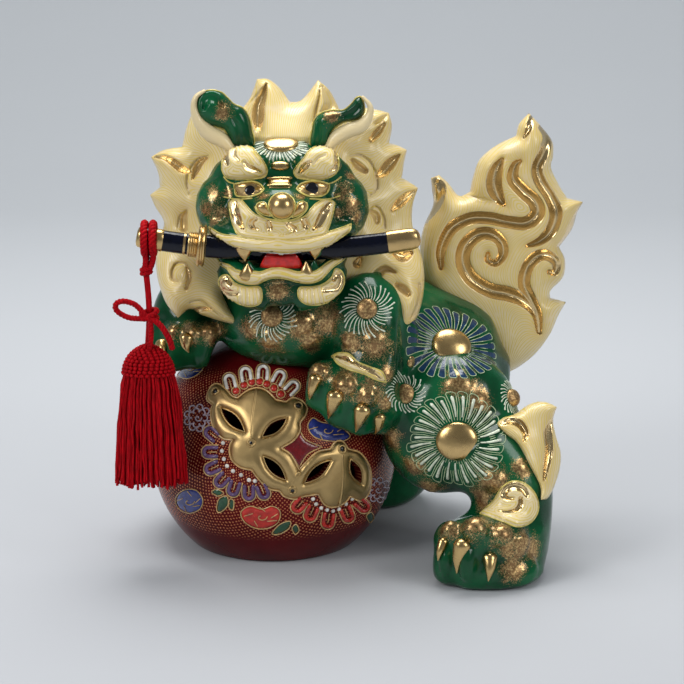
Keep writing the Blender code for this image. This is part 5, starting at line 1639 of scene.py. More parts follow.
class LION_OT_flowers(bpy.types.Operator):
    """Chrysanthemums in raised slip with gilt hearts"""
    bl_idname = "lion.flowers"
    bl_label = "Flowers"

    def execute(self, context):
        self.tree = ring_tree()
        self.body = bpy.data.objects["body_skin"]
        skin = Carrier(self.body)
        hearts, dusty, slip, edges, wash = Clay(), Clay(), [], [], []
        spots = [(*skin.spot(px, py), *rest) for px, py, *rest in FLOWERS]
        for place, normal, *rest in BACK_FLOWERS:
            start = Vector(np.array(place) + np.array(normal) * 60)
            hit, out, *_ = skin.tree.ray_cast(start, -Vector(normal).normalized())
            spots.append((np.array(hit), np.array(out), *rest))
        for k, (place, normal, heart, reach, count, kind, oval, tilt) in enumerate(spots):
            a, b, n = facing_axes(normal)
            around = [place + reach * 0.75 * (cos(t) * a + sin(t) * b) for t in turns(12)]
            near, _ = skin.level(around)
            flatness = np.linalg.svd(near - near.mean(0))[2][2]
            toward = EYE - place if k < len(FLOWERS) else n
            a, b, n = facing_axes(flatness * np.sign(flatness @ n) + 0.6 * toward / norm(toward))
            c, s = cos(radians(tilt)), sin(radians(tilt))
            a, b = a * c + b * s, (b * c - a * s) * oval
            small = kind == "swirl"
            rise = n * (3.0 if small else 4.5)
            ball_shape(dusty if small else hearts, place + n * 0.7, (a * heart, b * heart, rise), sides=28,
                       low=-0.4)
            seat = (place, (a, b, n), count, k)
            if small:
                slip.append(self.ring(petal_stroke(heart * 1.15, reach, reach * 0.3, 0.34), 0.18, *seat))
                continue
            inner, bend = heart * 1.05, reach * 0.10
            share = 0.66 if kind == "blue" else 0.82
            edges.append(self.ring(petal_edge(inner, reach, count, share, bend, 0.27), 0.10, *seat))
            if kind == "blue":
                wash.append(self.ring(petal_fill(inner, reach, count, share * 0.9, bend), 0.10, *seat))
            else:
                slip.append(self.ring(petal_core(inner, reach, bend, 1.1), 0.10, *seat))
        hearts.hand_over("flower_hearts", "gilding", "lion", "gold")
        dusty.hand_over("flower_dusty_hearts", "gold_dust", "lion", "gold")
        hand_over(joined(slip, "flower_slip", get_finish("white_slip")), "lion", "ivory")
        hand_over(joined(edges, "flower_edges", get_finish("pale_line")), "lion", "ivory")
        hand_over(joined(wash, "flower_blue", get_finish("flower_enamel")), "lion", "black")
        return {"FINISHED"}

    def ring(self, clay, uneven, place, axes, count, seed):
        petal = bpy.data.meshes.new("petal")
        petal.from_pydata((np.vstack(clay.points) * MM).tolist(), [], clay.faces)
        one = placed("petal", petal)
        holder = placed("ring", bpy.data.meshes.new("ring"))
        turn = Matrix(np.array(axes).T.tolist()).to_4x4()
        holder.matrix_world = Matrix.Translation(Vector(place * MM + ORIGIN)) @ turn
        bpy.context.view_layer.update()
        made = run_tree(self.tree, holder, petal=one, surface=self.body, count=count, uneven=uneven,
                        seed=seed, material=get_finish("white_slip"))
        bpy.data.objects.remove(one)
        return made


def joined(meshes, name, material):
    whole = merged(name, *meshes)
    whole.shade_smooth()
    return piece_from(whole, name, material)


# The ball

PLAQUE = (
    (211, 387), (218, 384), (226, 389), (232, 396), (238, 398, 1), (247, 391), (257, 388), (267, 391),
    (276, 400, 1), (286, 402, 1), (293, 398), (302, 401), (307, 408), (305, 416), (300, 423), (300, 430),
    (294, 440), (281, 448, 1), (291, 455), (299, 470, 1), (306, 462), (317, 452), (330, 449, 1), (335, 442),
    (342, 441), (348, 449, 1), (360, 453), (369, 466), (371, 480), (368, 494), (360, 501), (350, 496, 1),
    (344, 503), (333, 507), (324, 504), (318, 494, 1), (304, 496), (295, 499), (284, 496), (280, 491, 1),
    (268, 488), (258, 478), (252, 470, 1), (240, 467), (231, 458), (230, 446), (233, 440, 1), (222, 438),
    (213, 426), (211, 412), (213, 405, 1), (207, 399),
)
LEAF_SLOTS = ((221, 408, 245, 432), (287, 418, 262, 437), (263, 456, 286, 480), (331, 460, 304, 483),
              (350, 459, 361, 484))
SLOT_HALF = 5.6
PLAQUE_RISE = 2.6
PLAQUE_RIDGES = (
    ((257, 391), (254, 410), (252, 428), (252, 438)), ((340, 455), (341, 472), (340, 490), (338, 503)),
    ((292, 482), (297, 472), (299, 474)),
)
# Small holes in the plaque: each a gold ring round a black dome of painted shade
PLAQUE_STUDS = ((217, 393), (298, 407), (252, 443), (340, 449), (292, 489))
# Petals round the plaque: pixel of the middle, the way it points, its kind
BALL_PETALS = (
    (230, 382, 226, 366, "pale"), (246, 375, 243, 357, "pale"), (263, 373, 264, 356, "pale"),
    (279, 378, 287, 363, "pale"), (292, 388, 303, 377, "pale"), (212, 434, 200, 424, "plum"),
    (211, 452, 198, 452, "plum"), (213, 468, 200, 474, "plum"), (222, 480, 212, 491, "plum"),
    (234, 488, 230, 501, "plum"), (249, 492, 249, 506, "plum"), (263, 491, 268, 503, "plum"),
    (299, 505, 290, 515, "scarlet"), (311, 513, 306, 525, "scarlet"), (328, 520, 326, 532, "scarlet"),
    (347, 514, 352, 526, "scarlet"), (362, 505, 371, 513, "scarlet"),
)
RED_BEADS = ((236, 391), (244, 385), (252, 382), (259.5, 381.5), (267, 384), (274, 388), (281, 394))
WHITE_BEADS = ((223, 443), (222, 451), (224, 459), (227, 466), (233, 471), (241, 475), (249, 480),
               (255, 481), (313, 499), (316, 504), (321, 508), (327, 510), (333, 511), (339, 509),
               (346, 504), (352, 499))
# Loose blossoms and leaves: outline points in pixels, and their colour
BLOSSOMS = (
    (((241, 512), (250, 506), (262, 509), (272, 506), (280, 511), (278, 522), (268, 528), (256, 528),
      (245, 522)), "scarlet_enamel"),
    (((176, 498), (184, 490), (196, 490), (203, 499), (200, 509), (189, 513), (179, 508)), "blue_enamel"),
    (((308, 424), (313, 418), (321, 422), (332, 424), (342, 428), (350, 436), (343, 441), (330, 441),
      (316, 438), (309, 431)), "blue_enamel"),
    (((174, 372), (182, 363), (194, 357), (204, 364), (199, 374), (186, 379)), "blue_enamel"),
    (((282, 448, 1), (292, 441), (300, 431, 1), (306, 440), (322, 447, 1), (308, 454), (299, 467, 1),
      (292, 456)), "plain_red"),
    (((217, 510), (219, 499), (227, 496), (228, 505), (221, 512)), "leaf_enamel"),
    (((230, 499), (234, 501), (233, 510), (229, 507)), "leaf_enamel"),
    (((272, 533), (280, 524), (290, 521), (289, 528), (279, 534)), "leaf_enamel"),
    (((292, 528), (296, 524), (299, 530), (295, 534)), "leaf_enamel"),
    (((212, 492), (217, 489), (224, 493), (218, 496)), "leaf_enamel"),
    (((366, 516), (371, 512), (374, 519), (370, 523)), "leaf_enamel"),
)
ROSETTES = ((198, 418, 13), (378, 490, 12))


def leaf_loop(x0, y0, x1, y1, half, steps=10):
    """A pointed leaf between two pixels."""
    a, b = np.array((x0, y0), float), np.array((x1, y1), float)
    along = b - a
    across = np.array((-along[1], along[0])) / norm(along)
    t = np.linspace(0, 1, steps)
    bow = half * np.sin(pi * t) ** 0.9
    one = a + t[:, None] * along + bow[:, None] * across
    two = a + t[::-1, None] * along - bow[::-1, None] * across
    return np.vstack((one[:-1], two[:-1]))


def curl_line(middle, wide, high, turn, end, count):
    """A small drawn curl that winds in towards its middle."""
    return [(middle[0] + wide * (1 - t) * cos(turn * t), middle[1] + high * (1 - t) * sin(turn * t))
            for t in np.linspace(0, end, count)]


class LION_OT_ball(bpy.types.Operator):
    """Hollow red ball with pierced gilt plaques and drawn flowers"""
    bl_idname = "lion.ball"
    bl_label = "Ball"

    def execute(self, context):
        self.shell()
        gold, line = Clay(), Clay()
        guide = whole_ball("ball_guide")
        solid = Carrier(guide)
        holes = [leaf_loop(*slot, SLOT_HALF) for slot in LEAF_SLOTS]
        rim = outline(PLAQUE, 4)
        overlay(gold, solid, rim, PLAQUE_RISE, 11, holes=holes, hole_lip=0.5)
        # Black domes inside the gold rings: painted shade for the dark of small holes through the plaque.
        hole_shade = Clay()
        for px, py in PLAQUE_STUDS:
            place, normal = solid.spot(px, py)
            a, b, n = facing_axes(normal)
            ring = [place + n * PLAQUE_RISE + 2.3 * (cos(t) * a + sin(t) * b) for t in turns(20, True)]
            tube(gold, ring, 0.7, 8)
            ball_shape(hole_shade, place + n * 2.0, (a * 1.7, b * 1.7, n * 0.9), low=-0.2)
        hole_shade.hand_over("plaque_pins", "black_enamel", "lion", "black")
        for ridge in PLAQUE_RIDGES:
            stroke(gold, solid, ridge, 1.1, 1.9)
        for hole in holes:
            rim_line(gold, solid, hole, 0.4, 0.5, 8)
        rim_line(line, solid, rim, 0.3, 0.6)
        gold.hand_over("ball_plaques", "satin_gilding", "lion", "gold")
        self.decorate(solid, line)
        line.hand_over("ball_gilt_lines", "gold_line", "lion", "gold")
        bpy.data.objects.remove(guide)
        return {"FINISHED"}

    def shell(self):
        """The sphere with its foot, hollow and leaf-shaped piercings."""
        shell = whole_ball("ball_shell")
        cuts = [inner_ball(), *(slot_prism(leaf_loop(*slot, SLOT_HALF, steps=7)) for slot in LEAF_SLOTS)]
        for cut in cuts:
            change = shell.modifiers.new("cut", "BOOLEAN")
            change.operation = "DIFFERENCE"
            change.object = cut
        made = bake(shell, "ball_shell")
        for cut in cuts:
            bpy.data.objects.remove(cut)
        points = mesh_points(made)
        band = eased((points[:, 2] - DOTS_FOOT) / 6) * (1 - eased((points[:, 2] - DOTS_TOP) / 8))
        outside = norm(points - BALL_CENTRE, axis=1) > BALL_RADIUS - 1.5
        write_layer(made, "ground", band * outside)
        made.set_sharp_from_angle(angle=radians(45))
        hand_over(piece_from(made, "ball_shell", get_finish("iron_red_ground")), "lion", "red", "ball")

    def decorate(self, solid, line):
        paints = {}

        def paint(name):
            return paints.setdefault(name, Clay())

        for x, y, tx, ty, kind in BALL_PETALS:
            self.petal(solid, (x, y), (tx, ty), kind, paint, line)
        for px, py in RED_BEADS:
            stud(paint("scarlet_enamel"), solid, px, py, 2.1, 1.1)
            ring = [(px + 4.3 * cos(a), py + 4.3 * sin(a)) for a in turns(10, True)]
            stroke(line, solid, ring, 0.32, 0.1, 2)
        for px, py in WHITE_BEADS:
            stud(paint("white_enamel"), solid, px, py, 1.3, 1.1)
        for loop, name in BLOSSOMS:
            smooth = outline(loop, 5)
            overlay(paint(name), solid, smooth, 0.3 if name == "plain_red" else 0.7, 3, gap=2.0)
            rim_line(line, solid, smooth, 0.3, 0.35, 5)
            middle = np.mean(smooth, axis=0)
            if name in ("blue_enamel", "scarlet_enamel"):
                stroke(line, solid, curl_line(middle, 6, 4.5, 5.2, 0.8, 9), 0.32, 0.9, 2)
                half = (smooth.max(0) - smooth.min(0)) * 0.46
                for a in np.linspace(0.4, 6.0, 5):
                    ends = ((0.92, a), (0.55, a + 0.5))
                    vein = [middle + share * np.array((cos(b), sin(b))) * half for share, b in ends]
                    stroke(line, solid, vein, 0.28, 0.8, 3)
        for px, py, size in ROSETTES:
            for radius, count in ((size * 0.82, 9), (size * 0.5, 7)):
                for a in turns(count):
                    x, y = px + radius * cos(a), py + radius * sin(a)
                    arc = [(x + size * 0.24 * cos(a + b), y + size * 0.24 * sin(a + b))
                           for b in np.linspace(-1.9, 1.9, 6)]
                    stroke(paint("lilac_enamel"), solid, arc, 0.5, 0.1, 2)
            curl = curl_line((px, py), size * 0.3, size * 0.3, 7, 0.9, 10)
            stroke(paint("lilac_enamel"), solid, curl, 0.5, 0.1, 2)
        for name, clay in paints.items():
            clay.hand_over("ball_" + name, name, "lion", "red")

    def petal(self, solid, middle, toward, kind, paint, line):
        """A horseshoe petal: gilt edge, pale or coloured band, red heart."""
        middle, toward = np.array(middle, float), np.array(toward, float)
        along = (toward - middle) / norm(toward - middle)
        across = np.array((-along[1], along[0]))

        def shoe(half, reach, back):
            front, rear = middle + along * (reach - half), middle - along * back
            bow = [front + half * (cos(a) * along + sin(a) * across) for a in np.linspace(-1.57, 1.57, 7)]
            return [rear - across * half, *bow, rear + across * half]

        stroke(line, solid, shoe(6.9, 9.4, 7), 0.42, 0.15, 3)
        main = {"pale": "white_enamel", "plum": "plum_enamel", "scarlet": "scarlet_enamel"}[kind]
        stroke(paint(main), solid, shoe(4.4, 6.6, 6), 1.3 if kind != "pale" else 1.1, 0.1, 3)
        stroke(line, solid, (middle - along * 6, middle + along * 2), 0.3, 0.3, 3)


def sphere_object(name, radius, floor, segments, rings_count):
    bm = bmesh.new()
    bmesh.ops.create_uvsphere(bm, u_segments=segments, v_segments=rings_count, radius=radius)
    for vert in bm.verts:
        place = np.array(vert.co) + BALL_CENTRE
        vert.co = Vector(place * MM + ORIGIN)
    cut = bmesh.ops.bisect_plane(bm, geom=bm.verts[:] + bm.edges[:] + bm.faces[:], clear_outer=True,
                                 plane_co=(0, 0, floor * MM), plane_no=(0, 0, -1))
    bmesh.ops.contextual_create(bm, geom=[e for e in cut["geom_cut"] if isinstance(e, bmesh.types.BMEdge)])
    bmesh.ops.recalc_face_normals(bm, faces=bm.faces[:])
    mesh = bpy.data.meshes.new(name)
    bm.to_mesh(mesh)
    bm.free()
    return piece_from(mesh, name, get_finish("iron_red_ground"))


def whole_ball(name):
    return sphere_object(name, BALL_RADIUS, 0.0, 176, 110)


def inner_ball():
    return sphere_object("ball_inside", BALL_RADIUS - BALL_WALL, BALL_WALL, 48, 30)


def slot_prism(loop):
    """A prism along the ball's radius through a leaf outline in pixels."""
    radial = []
    for px, py in loop:
        ray, out = sight(px, py), EYE - BALL_CENTRE
        b = out @ ray
        hit = EYE + ray * (-b - sqrt(b * b - out @ out + BALL_RADIUS ** 2))
        radial.append((hit - BALL_CENTRE) / BALL_RADIUS)
    radial = np.array(radial)
    clay = Clay()
    rings(clay, [BALL_CENTRE + radial * (BALL_RADIUS - 14), BALL_CENTRE + radial * (BALL_RADIUS + 8)])
    item = clay.piece("slot", "iron_red_ground")
    bm = bmesh.new()
    bm.from_mesh(item.data)
    bmesh.ops.recalc_face_normals(bm, faces=bm.faces[:])
    bm.to_mesh(item.data)
    bm.free()
    return item


# The sword

SWORD_Y = -70.0
SWORD_RADIUS = 450.0
SWORD_LOW = 201.0


def sword_z(x):
    return SWORD_LOW + SWORD_RADIUS - sqrt(SWORD_RADIUS ** 2 - (x - FACE_X) ** 2)


def sword_bar(clay, stations, sides=28):
    """A bar along the sword's arc. A station is (x, half height, half depth)."""
    skins = []
    turn = turns(sides)
    for x, high, deep in stations:
        slope = (x - FACE_X) / SWORD_RADIUS
        up = np.array((-slope, 0, sqrt(1 - slope ** 2)))
        middle = np.array((x, SWORD_Y, sword_z(x)))
        shape = np.sign(np.cos(turn)) * np.abs(np.cos(turn)) ** 0.85
        skins.append(middle + shape[:, None] * up * high - np.sin(turn)[:, None] * np.array((0, 1, 0)) * deep)
    rings(clay, skins)


def collar_station(x):
    """The hilt collar is a row of three soft rings."""
    swell = abs(sin(2.6 * (x + 90.4)))
    return x, 7.0 + 0.6 * swell, 5.6 + 0.5 * swell


def scabbard_station(x):
    """The scabbard tapers evenly from the guard."""
    along = (x + 80) / 107
    return x, 6.8 - 0.5 * along, 5.0 - 0.4 * along


# The sword's pieces: name, finish, slot, their bars and the solid that they stand for. A bar's station is
# (x, half height, half depth).
SWORD_PIECES = (
    ("scabbard_lacquer", "black_glaze", "black",
     [[scabbard_station(x) for x in np.linspace(-79.9, 27, 30)]], "scabbard"),
    ("scabbard_end", "gilding", "gold",
     [[(26.9, 6.75, 5.05), (29, 6.9, 5.2), (40, 6.6, 5.0), (43.5, 5.8, 4.4), (45.2, 4.4, 3.3),
       (46.0, 2.2, 1.6), (46.1, 0.3, 0.3)]], "scabbard_tip"),
    ("guard_plate", "gilding", "gold",
     [[(-85.1, 9.0, 7.6), (-84.9, 11.4, 9.2), (-84.3, 12.4, 9.9), (-83.4, 12.6, 10.1), (-82.9, 11.6, 9.2),
       (-82.0, 11.6, 9.2), (-81.5, 12.6, 10.1), (-80.8, 12.4, 9.9), (-80.3, 11.4, 9.2), (-80.2, 9.0, 7.6)]],
     "guard"),
    ("collar_rings", "gilding", "gold", [[collar_station(x) for x in np.linspace(-90.5, -85.2, 22)]],
     "hilt_collar"),
    ("hilt_grip", "black_glaze", "black", [[(x, 6.25, 4.9) for x in np.linspace(-116, -90.6, 10)]], "hilt"),
    ("hilt_bands", "gilding", "gold",
     [[(-111, 6.2, 4.9), (-110.6, 6.6, 5.2), (-105.6, 6.6, 5.2), (-105.2, 6.2, 4.9)],
      [(-93.4, 6.2, 4.9), (-93.2, 6.55, 5.15), (-92, 6.55, 5.15), (-91.8, 6.2, 4.9)]]),
    ("pommel_cap", "gilding", "gold",
     [[(-120.8, 0.3, 0.3), (-120.7, 3.6, 2.8), (-120.2, 5.4, 4.2), (-119.2, 6.2, 4.9), (-116.4, 6.4, 5.1),
       (-116.1, 6.2, 4.9)]], "pommel"),
)


class LION_OT_sword(bpy.types.Operator):
    """Black scabbard and hilt with gilt fittings"""
    bl_idname = "lion.sword"
    bl_label = "Sword"

    def execute(self, context):
        for name, look, slot, bars, *nodes in SWORD_PIECES:
            clay = Clay()
            for stations in bars:
                sword_bar(clay, stations)
            item = clay.piece(name, look)
            item.data.set_sharp_from_angle(angle=radians(50))
            hand_over(item, "sword", slot, *nodes)
        return {"FINISHED"}


# Cord and tassel

SILK = "red_silk"
GOLDEN_ANGLE = 2.39996
WRAP_X = -113.5
WRAP_RADIUS = 8.9
WRAP_FOOT = 187.5
TASSEL_X = -115.5
CORD_RADIUS = 1.8
CORD_BULGE = 1.2
# Heights of the cord's free run, of its hidden core, of the bow's knot and of the skirt's top
CORD_TOP, CORD_FOOT = 185.3, 142.4
CORE_TOP, CORE_FOOT = 138.0, 74.0
BOW_HEIGHT = 161.5
SKIRT_TOP = 126.5
# The strands that fall from the wrap: shift along the hilt and in depth. The cap's outline: radius, height.
WRAP_STRANDS = ((-2.3, -2.2), (2.3, -2.2), (-2.0, 2.4), (2.0, 2.4))
CAP_OUTLINE = ((2.5, 142.5), (6.5, 140.5), (11, 136.5), (14, 131), (15, 126))
# The bow's loop and its two loose ends, from the knot outwards: shift from the knot for the first place of
# each, other places, cord radius
BOW_LOOP = ((-122, -74, 168.5), (-129, -75, 171), (-133.5, -74, 169), (-133, -73, 164.5), (-126, -73, 160.5))
BOW_ENDS = (
    ((2, -4, 160), ((-107, -75.5, 156), (-102.5, -77, 149), (-100.5, -77, 142.5)), 1.9),
    ((1, -4.4, 159), ((-113, -75, 152), (-113.5, -75.5, 146), (-114.5, -73.5, 141)), 1.7),
)


def strand_tree():
    """Geometry nodes for a skirt of hanging threads, gathered at the top."""
    tree, given, end = geometry_tree("Hanging threads", Count="Int", Length="Float", Thread_Radius="Float",
                                     Gather="Float", Half_Width="Float", Half_Depth="Float", Seed="Int",
                                     Material="Material")
    index = geo(tree, "InputIndex")
    angle = times(tree, index, GOLDEN_ANGLE)
    spread = chance(tree, 0.55, 1.0, index, given["Seed"])
    x, y = [times(tree, times(tree, math_node(tree, way, angle), spread), given[half])
            for way, half in (("COSINE", "Half Width"), ("SINE", "Half Depth"))]
    marks = geo(tree, "SetPosition", Geometry=loose_points(tree, given["Count"]),
                Position=combine(tree, X=x, Y=y))
    fall = combine(tree, Z=times(tree, given["Length"], -1.0))
    thread = geo(tree, "ResampleCurve", Curve=geo(tree, "CurvePrimitiveLine", End=fall), Count=9)
    ring = geo(tree, "CurvePrimitiveCircle", Resolution=5, Radius=given["Thread Radius"])
    thread = geo(tree, "CurveToMesh", Curve=thread, Profile_Curve=ring, Fill_Caps=True)
    length = chance(tree, 0.93, 1.03, index, plus(tree, given["Seed"], 7))
    scale = combine(tree, X=1.0, Y=1.0, Z=length)
    hung = geo(tree, "InstanceOnPoints", Points=marks, Instance=thread, Scale=scale)
    solid = geo(tree, "RealizeInstances", Geometry=hung)
    here = geo(tree, "InputPosition")
    parts = node(tree, "ShaderNodeSeparateXYZ", {0: here}).outputs
    drop = math_node(tree, "DIVIDE", times(tree, parts[2], -1.0), given["Length"], clamp=True)
    wide = mix_value(tree, math_node(tree, "POWER", drop, 0.55), given["Gather"], 1.0)
    stray = node(tree, "ShaderNodeTexNoise", {"Vector": here, "Scale": 160.0}, noise_dimensions="3D")
    stray = vector_math(tree, "SUBTRACT", stray.outputs["Color"], (0.5, 0.5, 0.5))
    stray = vector_math(tree, "MULTIPLY", stray, (0.004, 0.004, 0.0))
    x, y = [times(tree, part, wide) for part in parts[:2]]
    moved = vector_math(tree, "ADD", combine(tree, X=x, Y=y, Z=parts[2]), stray)
    end_dressed(tree, end, geo(tree, "SetPosition", Geometry=solid, Position=moved), given["Material"])
    return tree


class LION_OT_tassel(bpy.types.Operator):
    """Silk cord wrapped on the hilt, its bow and its tassel"""
    bl_idname = "lion.tassel"
    bl_label = "Cord and tassel"

    def execute(self, context):
        self.wrap()
        free = [(TASSEL_X + CORD_BULGE * sin(pi * t), SWORD_Y, CORD_TOP + (CORD_FOOT - CORD_TOP) * t)
                for t in np.linspace(0, 1, 25)]
        # Below its free run the cord is the tassel's core, hidden by the cap and the threads
        core = [(TASSEL_X, SWORD_Y, height) for height in np.linspace(CORE_TOP, CORE_FOOT, 15)]
        curve = bpy.data.curves.new("hanging_cord", "CURVE")
        curve.dimensions = "3D"
        curve.bevel_depth = CORD_RADIUS * MM
        curve.bevel_resolution = 4
        curve.use_fill_caps = True
        path = curve.splines.new("POLY")
        places = np.array(free + core) * MM + ORIGIN
        path.points.add(len(places) - 1)
        for point, place in zip(path.points, places):
            point.co = (*place, 1.0)
        curve.materials.append(get_finish(SILK))
        cord = placed("hanging_cord", curve)
        hand_over(cord, "tassel", "cord", "cord_stem")
        bow = self.bow()
        cap = self.cap()
        skirt = self.skirt(context)
        length = float(norm(np.diff(places, axis=0), axis=1).sum())
        return {"FINISHED"}

    def wrap(self):
        """Two turns round the hilt, the strands that fall from them and the binding at their foot."""
        clay, z = Clay(), sword_z(WRAP_X)
        for shift in (-2.5, 2.5):
            ring = [(WRAP_X + shift, SWORD_Y + WRAP_RADIUS * sin(a), z + WRAP_RADIUS * cos(a))
                    for a in turns(40, True)]
            rope(clay, ring, 2.35, 7.0)
        for shift, deep in WRAP_STRANDS:
            top = (WRAP_X + shift, SWORD_Y + deep * 2.2, z - 7)
            middle = (WRAP_X + shift * 0.9, SWORD_Y + deep, z - 13)
            foot = (TASSEL_X + shift * 0.5, SWORD_Y + deep * 0.4, WRAP_FOOT)
            rope(clay, spline((top, middle, foot), 8), 1.9, 6.0)
        turn = [(TASSEL_X + 2.6 * sin(a), SWORD_Y + 2.6 * cos(a), WRAP_FOOT + 3.0 - 0.35 * a)
                for a in np.linspace(0, 2 * tau, 40)]
        rope(clay, turn, 1.5, 5.0)
        clay.hand_over("cord_turns", SILK, "cord", "cord", "cord_wrap")

    def bow(self):
        clay = Clay()
        x, y = TASSEL_X + CORD_BULGE, SWORD_Y
        for tilt in (-0.5, 0.5):
            ring = [(x + 4.4 * sin(a), y + 4.4 * cos(a), BOW_HEIGHT + 3.2 * tilt * sin(a + tilt) + 1.6 * tilt)
                    for a in turns(30, True)]
            rope(clay, ring, 1.8, 5.5)
        rope(clay, spline(((x - 2, y - 4, 162), *BOW_LOOP, (x - 2, y - 4, 160)), 8), 1.8, 6.0)
        for (right, ahead, height), places, radius in BOW_ENDS:
            rope(clay, spline(((x + right, y + ahead, height), *places), 8), radius, 6.0)
        return clay.hand_over("cord_bow", SILK, "tassel", "cord", "bow")

    def cap(self):
        """The knitted cap, rows of knots on a dome."""
        clay = Clay()
        profile = spline(CAP_OUTLINE, 6)
        turn = turns(40)
        rings(clay, [np.column_stack((TASSEL_X + r * 0.93 * np.cos(turn), SWORD_Y + r * 0.56 * np.sin(turn),
                                      np.full(len(turn), h))) for r, h in profile])
        for row, (r, h) in enumerate(evenly(profile, 2.3, closed=False)):
            count = max(6, int(tau * r * 0.8 / 2.6))
            for k in range(count):
                a = tau * (k + 0.5 * (row % 2)) / count
                place = (TASSEL_X + r * cos(a), SWORD_Y + r * 0.6 * sin(a), h)
                ball_shape(clay, place, np.diag((1.45, 1.45, 1.25)), sides=8)
        return clay.hand_over("tassel_crown", SILK, "tassel", "cord", "tassel_cap")

    def skirt(self, context):
        tree = strand_tree()
        holder = placed("tassel_threads", bpy.data.meshes.new("tassel_threads"))
        top = np.array((TASSEL_X, SWORD_Y, SKIRT_TOP))
        holder.matrix_world = Matrix.Translation(Vector(top * MM + ORIGIN))
        context.view_layer.update()
        silk = get_finish(SILK)
        mesh = run_tree(tree, holder, count=context.scene.lion_sizes.strands, length=0.0685,
                        thread_radius=0.00075, gather=0.66, half_width=0.0222, half_depth=0.0132, seed=3,
                        material=silk)
        return hand_over(piece_from(mesh, "tassel_threads", silk), "tassel", "cord", "tassel_skirt")


# Finishes and stage

ENAMELS = (
    ("white_enamel", (0.78, 0.75, 0.68)), ("white_slip", (0.74, 0.80, 0.62)),
    ("pale_line", (0.50, 0.62, 0.36)), ("black_enamel", (0.006, 0.006, 0.008)),
    ("black_glaze", (0.001, 0.002, 0.009)), ("tongue_enamel", (0.62, 0.012, 0.010)),
    ("yellow_line", (0.70, 0.58, 0.15)), ("gold_line", (0.62, 0.40, 0.16)),
    ("blue_enamel", (0.024, 0.040, 0.24)), ("flower_enamel", (0.006, 0.036, 0.095)),
    ("plum_enamel", (0.12, 0.06, 0.16)), ("scarlet_enamel", (0.52, 0.020, 0.010)),
    ("plain_red", (0.16, 0.002, 0.005)), ("leaf_enamel", (0.015, 0.075, 0.030)),
    ("lilac_enamel", (0.46, 0.38, 0.44)),
)


class LION_OT_finishes(bpy.types.Operator):
    """Makes every glaze, enamel, gilding and silk"""
    bl_idname = "lion.finishes"
    bl_label = "Finishes"

    def execute(self, context):
        colours = context.scene.lion_colours
        make_sponge_group()
        make_hair_group()
        make_ripple_group()
        make_green(colours)
        make_ivory(colours, context.scene.lion_sizes.hair_spacing / MM)
        make_gold("gilding", colours, 0.18, 0.36)
        make_gold("satin_gilding", colours, 0.34, 0.48, 0.8)
        make_dusted(colours)
        make_ball_red(colours)
        make_silk(colours)
        for name, colour in ENAMELS:
            made = make_enamel(name, colour, 0.1 if "black" in name else 0.22)
            if name == "black_glaze":
                sockets = made.node_tree.nodes["Principled BSDF"].inputs
                sockets["Coat Weight"].default_value = 0.0
                sockets["Specular IOR Level"].default_value = 0.35
        return {"FINISHED"}


# The paper floor in metres: half width, where its bend starts, the bend's radius, its height behind and the
# gap under the foot
FLOOR_HALF = 9.0
FLOOR_BACK = 1.0
FLOOR_BEND = 0.9
FLOOR_TOP = 3.0
FLOOR_GAP = 0.0004
# The paper's colour: painted shade, darker near the camera and lighter towards the back, with faint cloudy
# blotches
PAPER_SHADE_NEAR = (0.42, 0.43, 0.45)
PAPER_LIGHT_FAR = (0.62, 0.64, 0.66)
PAPER_CLOUD = (0.5, 0.52, 0.54)
# The room's colour, the strength of its light, and of the room that glaze mirrors
ROOM_COLOUR = (0.92, 0.96, 1.0, 1.0)
ROOM_LIGHT = 0.55
ROOM_MIRRORED = 0.17
# Softboxes: place and size in metres, power in watts. They point at LIT.
SOFTBOXES = (
    ("left_softbox", (-0.95, -0.75, 0.85), (0.45, 0.6), 7.0),
    ("top_softbox", (-0.05, 0.22, 1.15), (0.8, 0.6), 12.0),
    ("right_softbox", (1.0, -0.8, 0.75), (0.45, 0.6), 5.0),
)
LIT = Vector((0, 0, 0.13))
SENSOR = 36.0


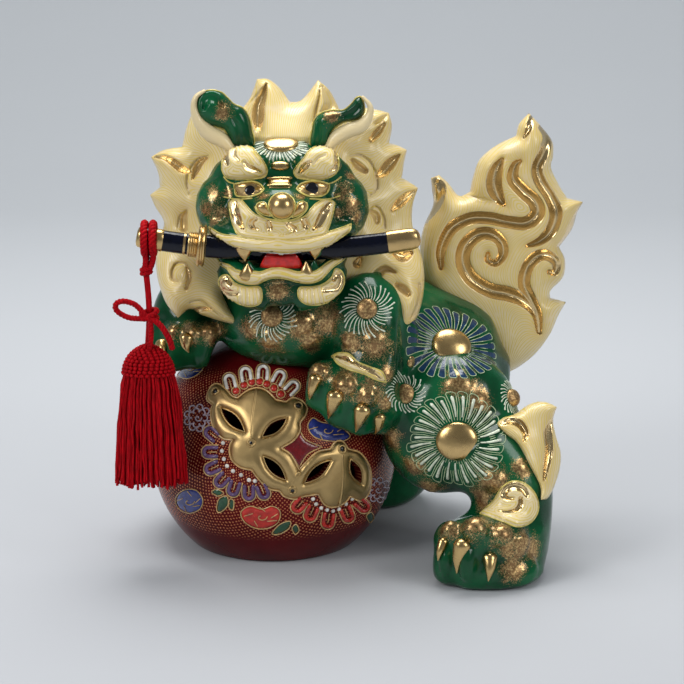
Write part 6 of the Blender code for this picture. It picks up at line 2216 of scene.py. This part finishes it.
class LION_OT_stage(bpy.types.Operator):
    """Pale floor, soft studio light and the photograph's camera"""
    bl_idname = "lion.stage"
    bl_label = "Stage"

    def execute(self, context):
        scene = context.scene
        scene.view_settings.view_transform = "Standard"
        lens = bpy.data.cameras.new("photo_camera")
        lens.sensor_width = SENSOR
        lens.lens = SENSOR * VIEW_DISTANCE / (FRAME_PIXELS * PIXEL)
        camera = placed("photo_camera", lens)
        camera.location = Vector(EYE * MM + ORIGIN)
        camera.rotation_euler = Vector(AHEAD).to_track_quat("-Z", "Y").to_euler()
        scene.camera = camera
        self.floor()
        self.lights(scene)
        return {"FINISHED"}

    def floor(self):
        profile = [(y, 0.0) for y in np.linspace(-FLOOR_HALF, FLOOR_BACK, 8)]
        profile += [(FLOOR_BACK + FLOOR_BEND * sin(a), FLOOR_BEND - FLOOR_BEND * cos(a))
                    for a in np.linspace(0.15, pi / 2, 10)]
        profile.append((FLOOR_BACK + FLOOR_BEND, FLOOR_TOP))
        points = [(x, y, z - FLOOR_GAP) for y, z in profile for x in (-FLOOR_HALF, FLOOR_HALF)]
        faces = [(2 * k, 2 * k + 1, 2 * k + 3, 2 * k + 2) for k in range(len(profile) - 1)]
        mesh = bpy.data.meshes.new("floor_sweep")
        mesh.from_pydata(points, [], faces)
        mesh.shade_smooth()
        made, tree, shader = finish("floor_paper", Roughness=0.9)
        away = node(tree, "ShaderNodeSeparateXYZ", {0: coords(tree)}).outputs["Y"]
        # Painted shade: the paper darkens towards the camera.
        tone = blend(tree, ramp(tree, away, -0.3, 1.3), PAPER_SHADE_NEAR, PAPER_LIGHT_FAR)
        tone = blend(tree, times(tree, noise(tree, 6.0), 0.1), tone, PAPER_CLOUD)
        wire(shader, "Base Color", tone)
        floor = piece_from(mesh, "floor_sweep", made)

    def lights(self, scene):
        world = bpy.data.worlds.new("soft_room")
        scene.world = world
        world.use_nodes = True
        back = world.node_tree.nodes["Background"]
        back.inputs["Color"].default_value = ROOM_COLOUR
        tree = world.node_tree
        rays = tree.nodes.new("ShaderNodeLightPath").outputs
        tree.links.new(mix_value(tree, rays["Is Glossy Ray"], ROOM_LIGHT, ROOM_MIRRORED),
                       back.inputs["Strength"])
        for name, place, size, power in SOFTBOXES:
            lamp = bpy.data.lights.new(name, "AREA")
            lamp.shape = "RECTANGLE"
            lamp.size, lamp.size_y = size
            lamp.energy = power
            item = placed(name, lamp)
            item.location = place
            item.rotation_euler = (LIT - Vector(place)).to_track_quat("-Z", "Y").to_euler()


PIECES = (LION_OT_finishes, LION_OT_stage, LION_OT_tassel, LION_OT_sword, LION_OT_body, LION_OT_head,
          LION_OT_ears, LION_OT_mane, LION_OT_tail, LION_OT_tufts, LION_OT_flowers, LION_OT_ball)


class LION_PT_panel(bpy.types.Panel):
    """Lists the lion's pieces and settings"""
    bl_label = "Lion"
    bl_idname = "LION_PT_panel"
    bl_space_type = "VIEW_3D"
    bl_region_type = "UI"
    bl_category = "Lion"

    def draw(self, context):
        for operator in PIECES:
            self.layout.operator(operator.bl_idname)
        for group in (context.scene.lion_colours, context.scene.lion_sizes):
            for key in group.__annotations__:
                self.layout.prop(group, key)


CLASSES = (LionColours, LionSizes, *PIECES, LION_PT_panel)


def register():
    for kind in CLASSES:
        bpy.utils.register_class(kind)
    bpy.types.Scene.lion_colours = PointerProperty(type=LionColours)
    bpy.types.Scene.lion_sizes = PointerProperty(type=LionSizes)


def unregister():
    del bpy.types.Scene.lion_sizes
    del bpy.types.Scene.lion_colours
    for kind in reversed(CLASSES):
        bpy.utils.unregister_class(kind)


def main():
    register()
    for operator in PIECES:
        group, name = operator.bl_idname.split(".")
        getattr(getattr(bpy.ops, group), name)()
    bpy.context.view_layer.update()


if __name__ == "__main__":
    main()
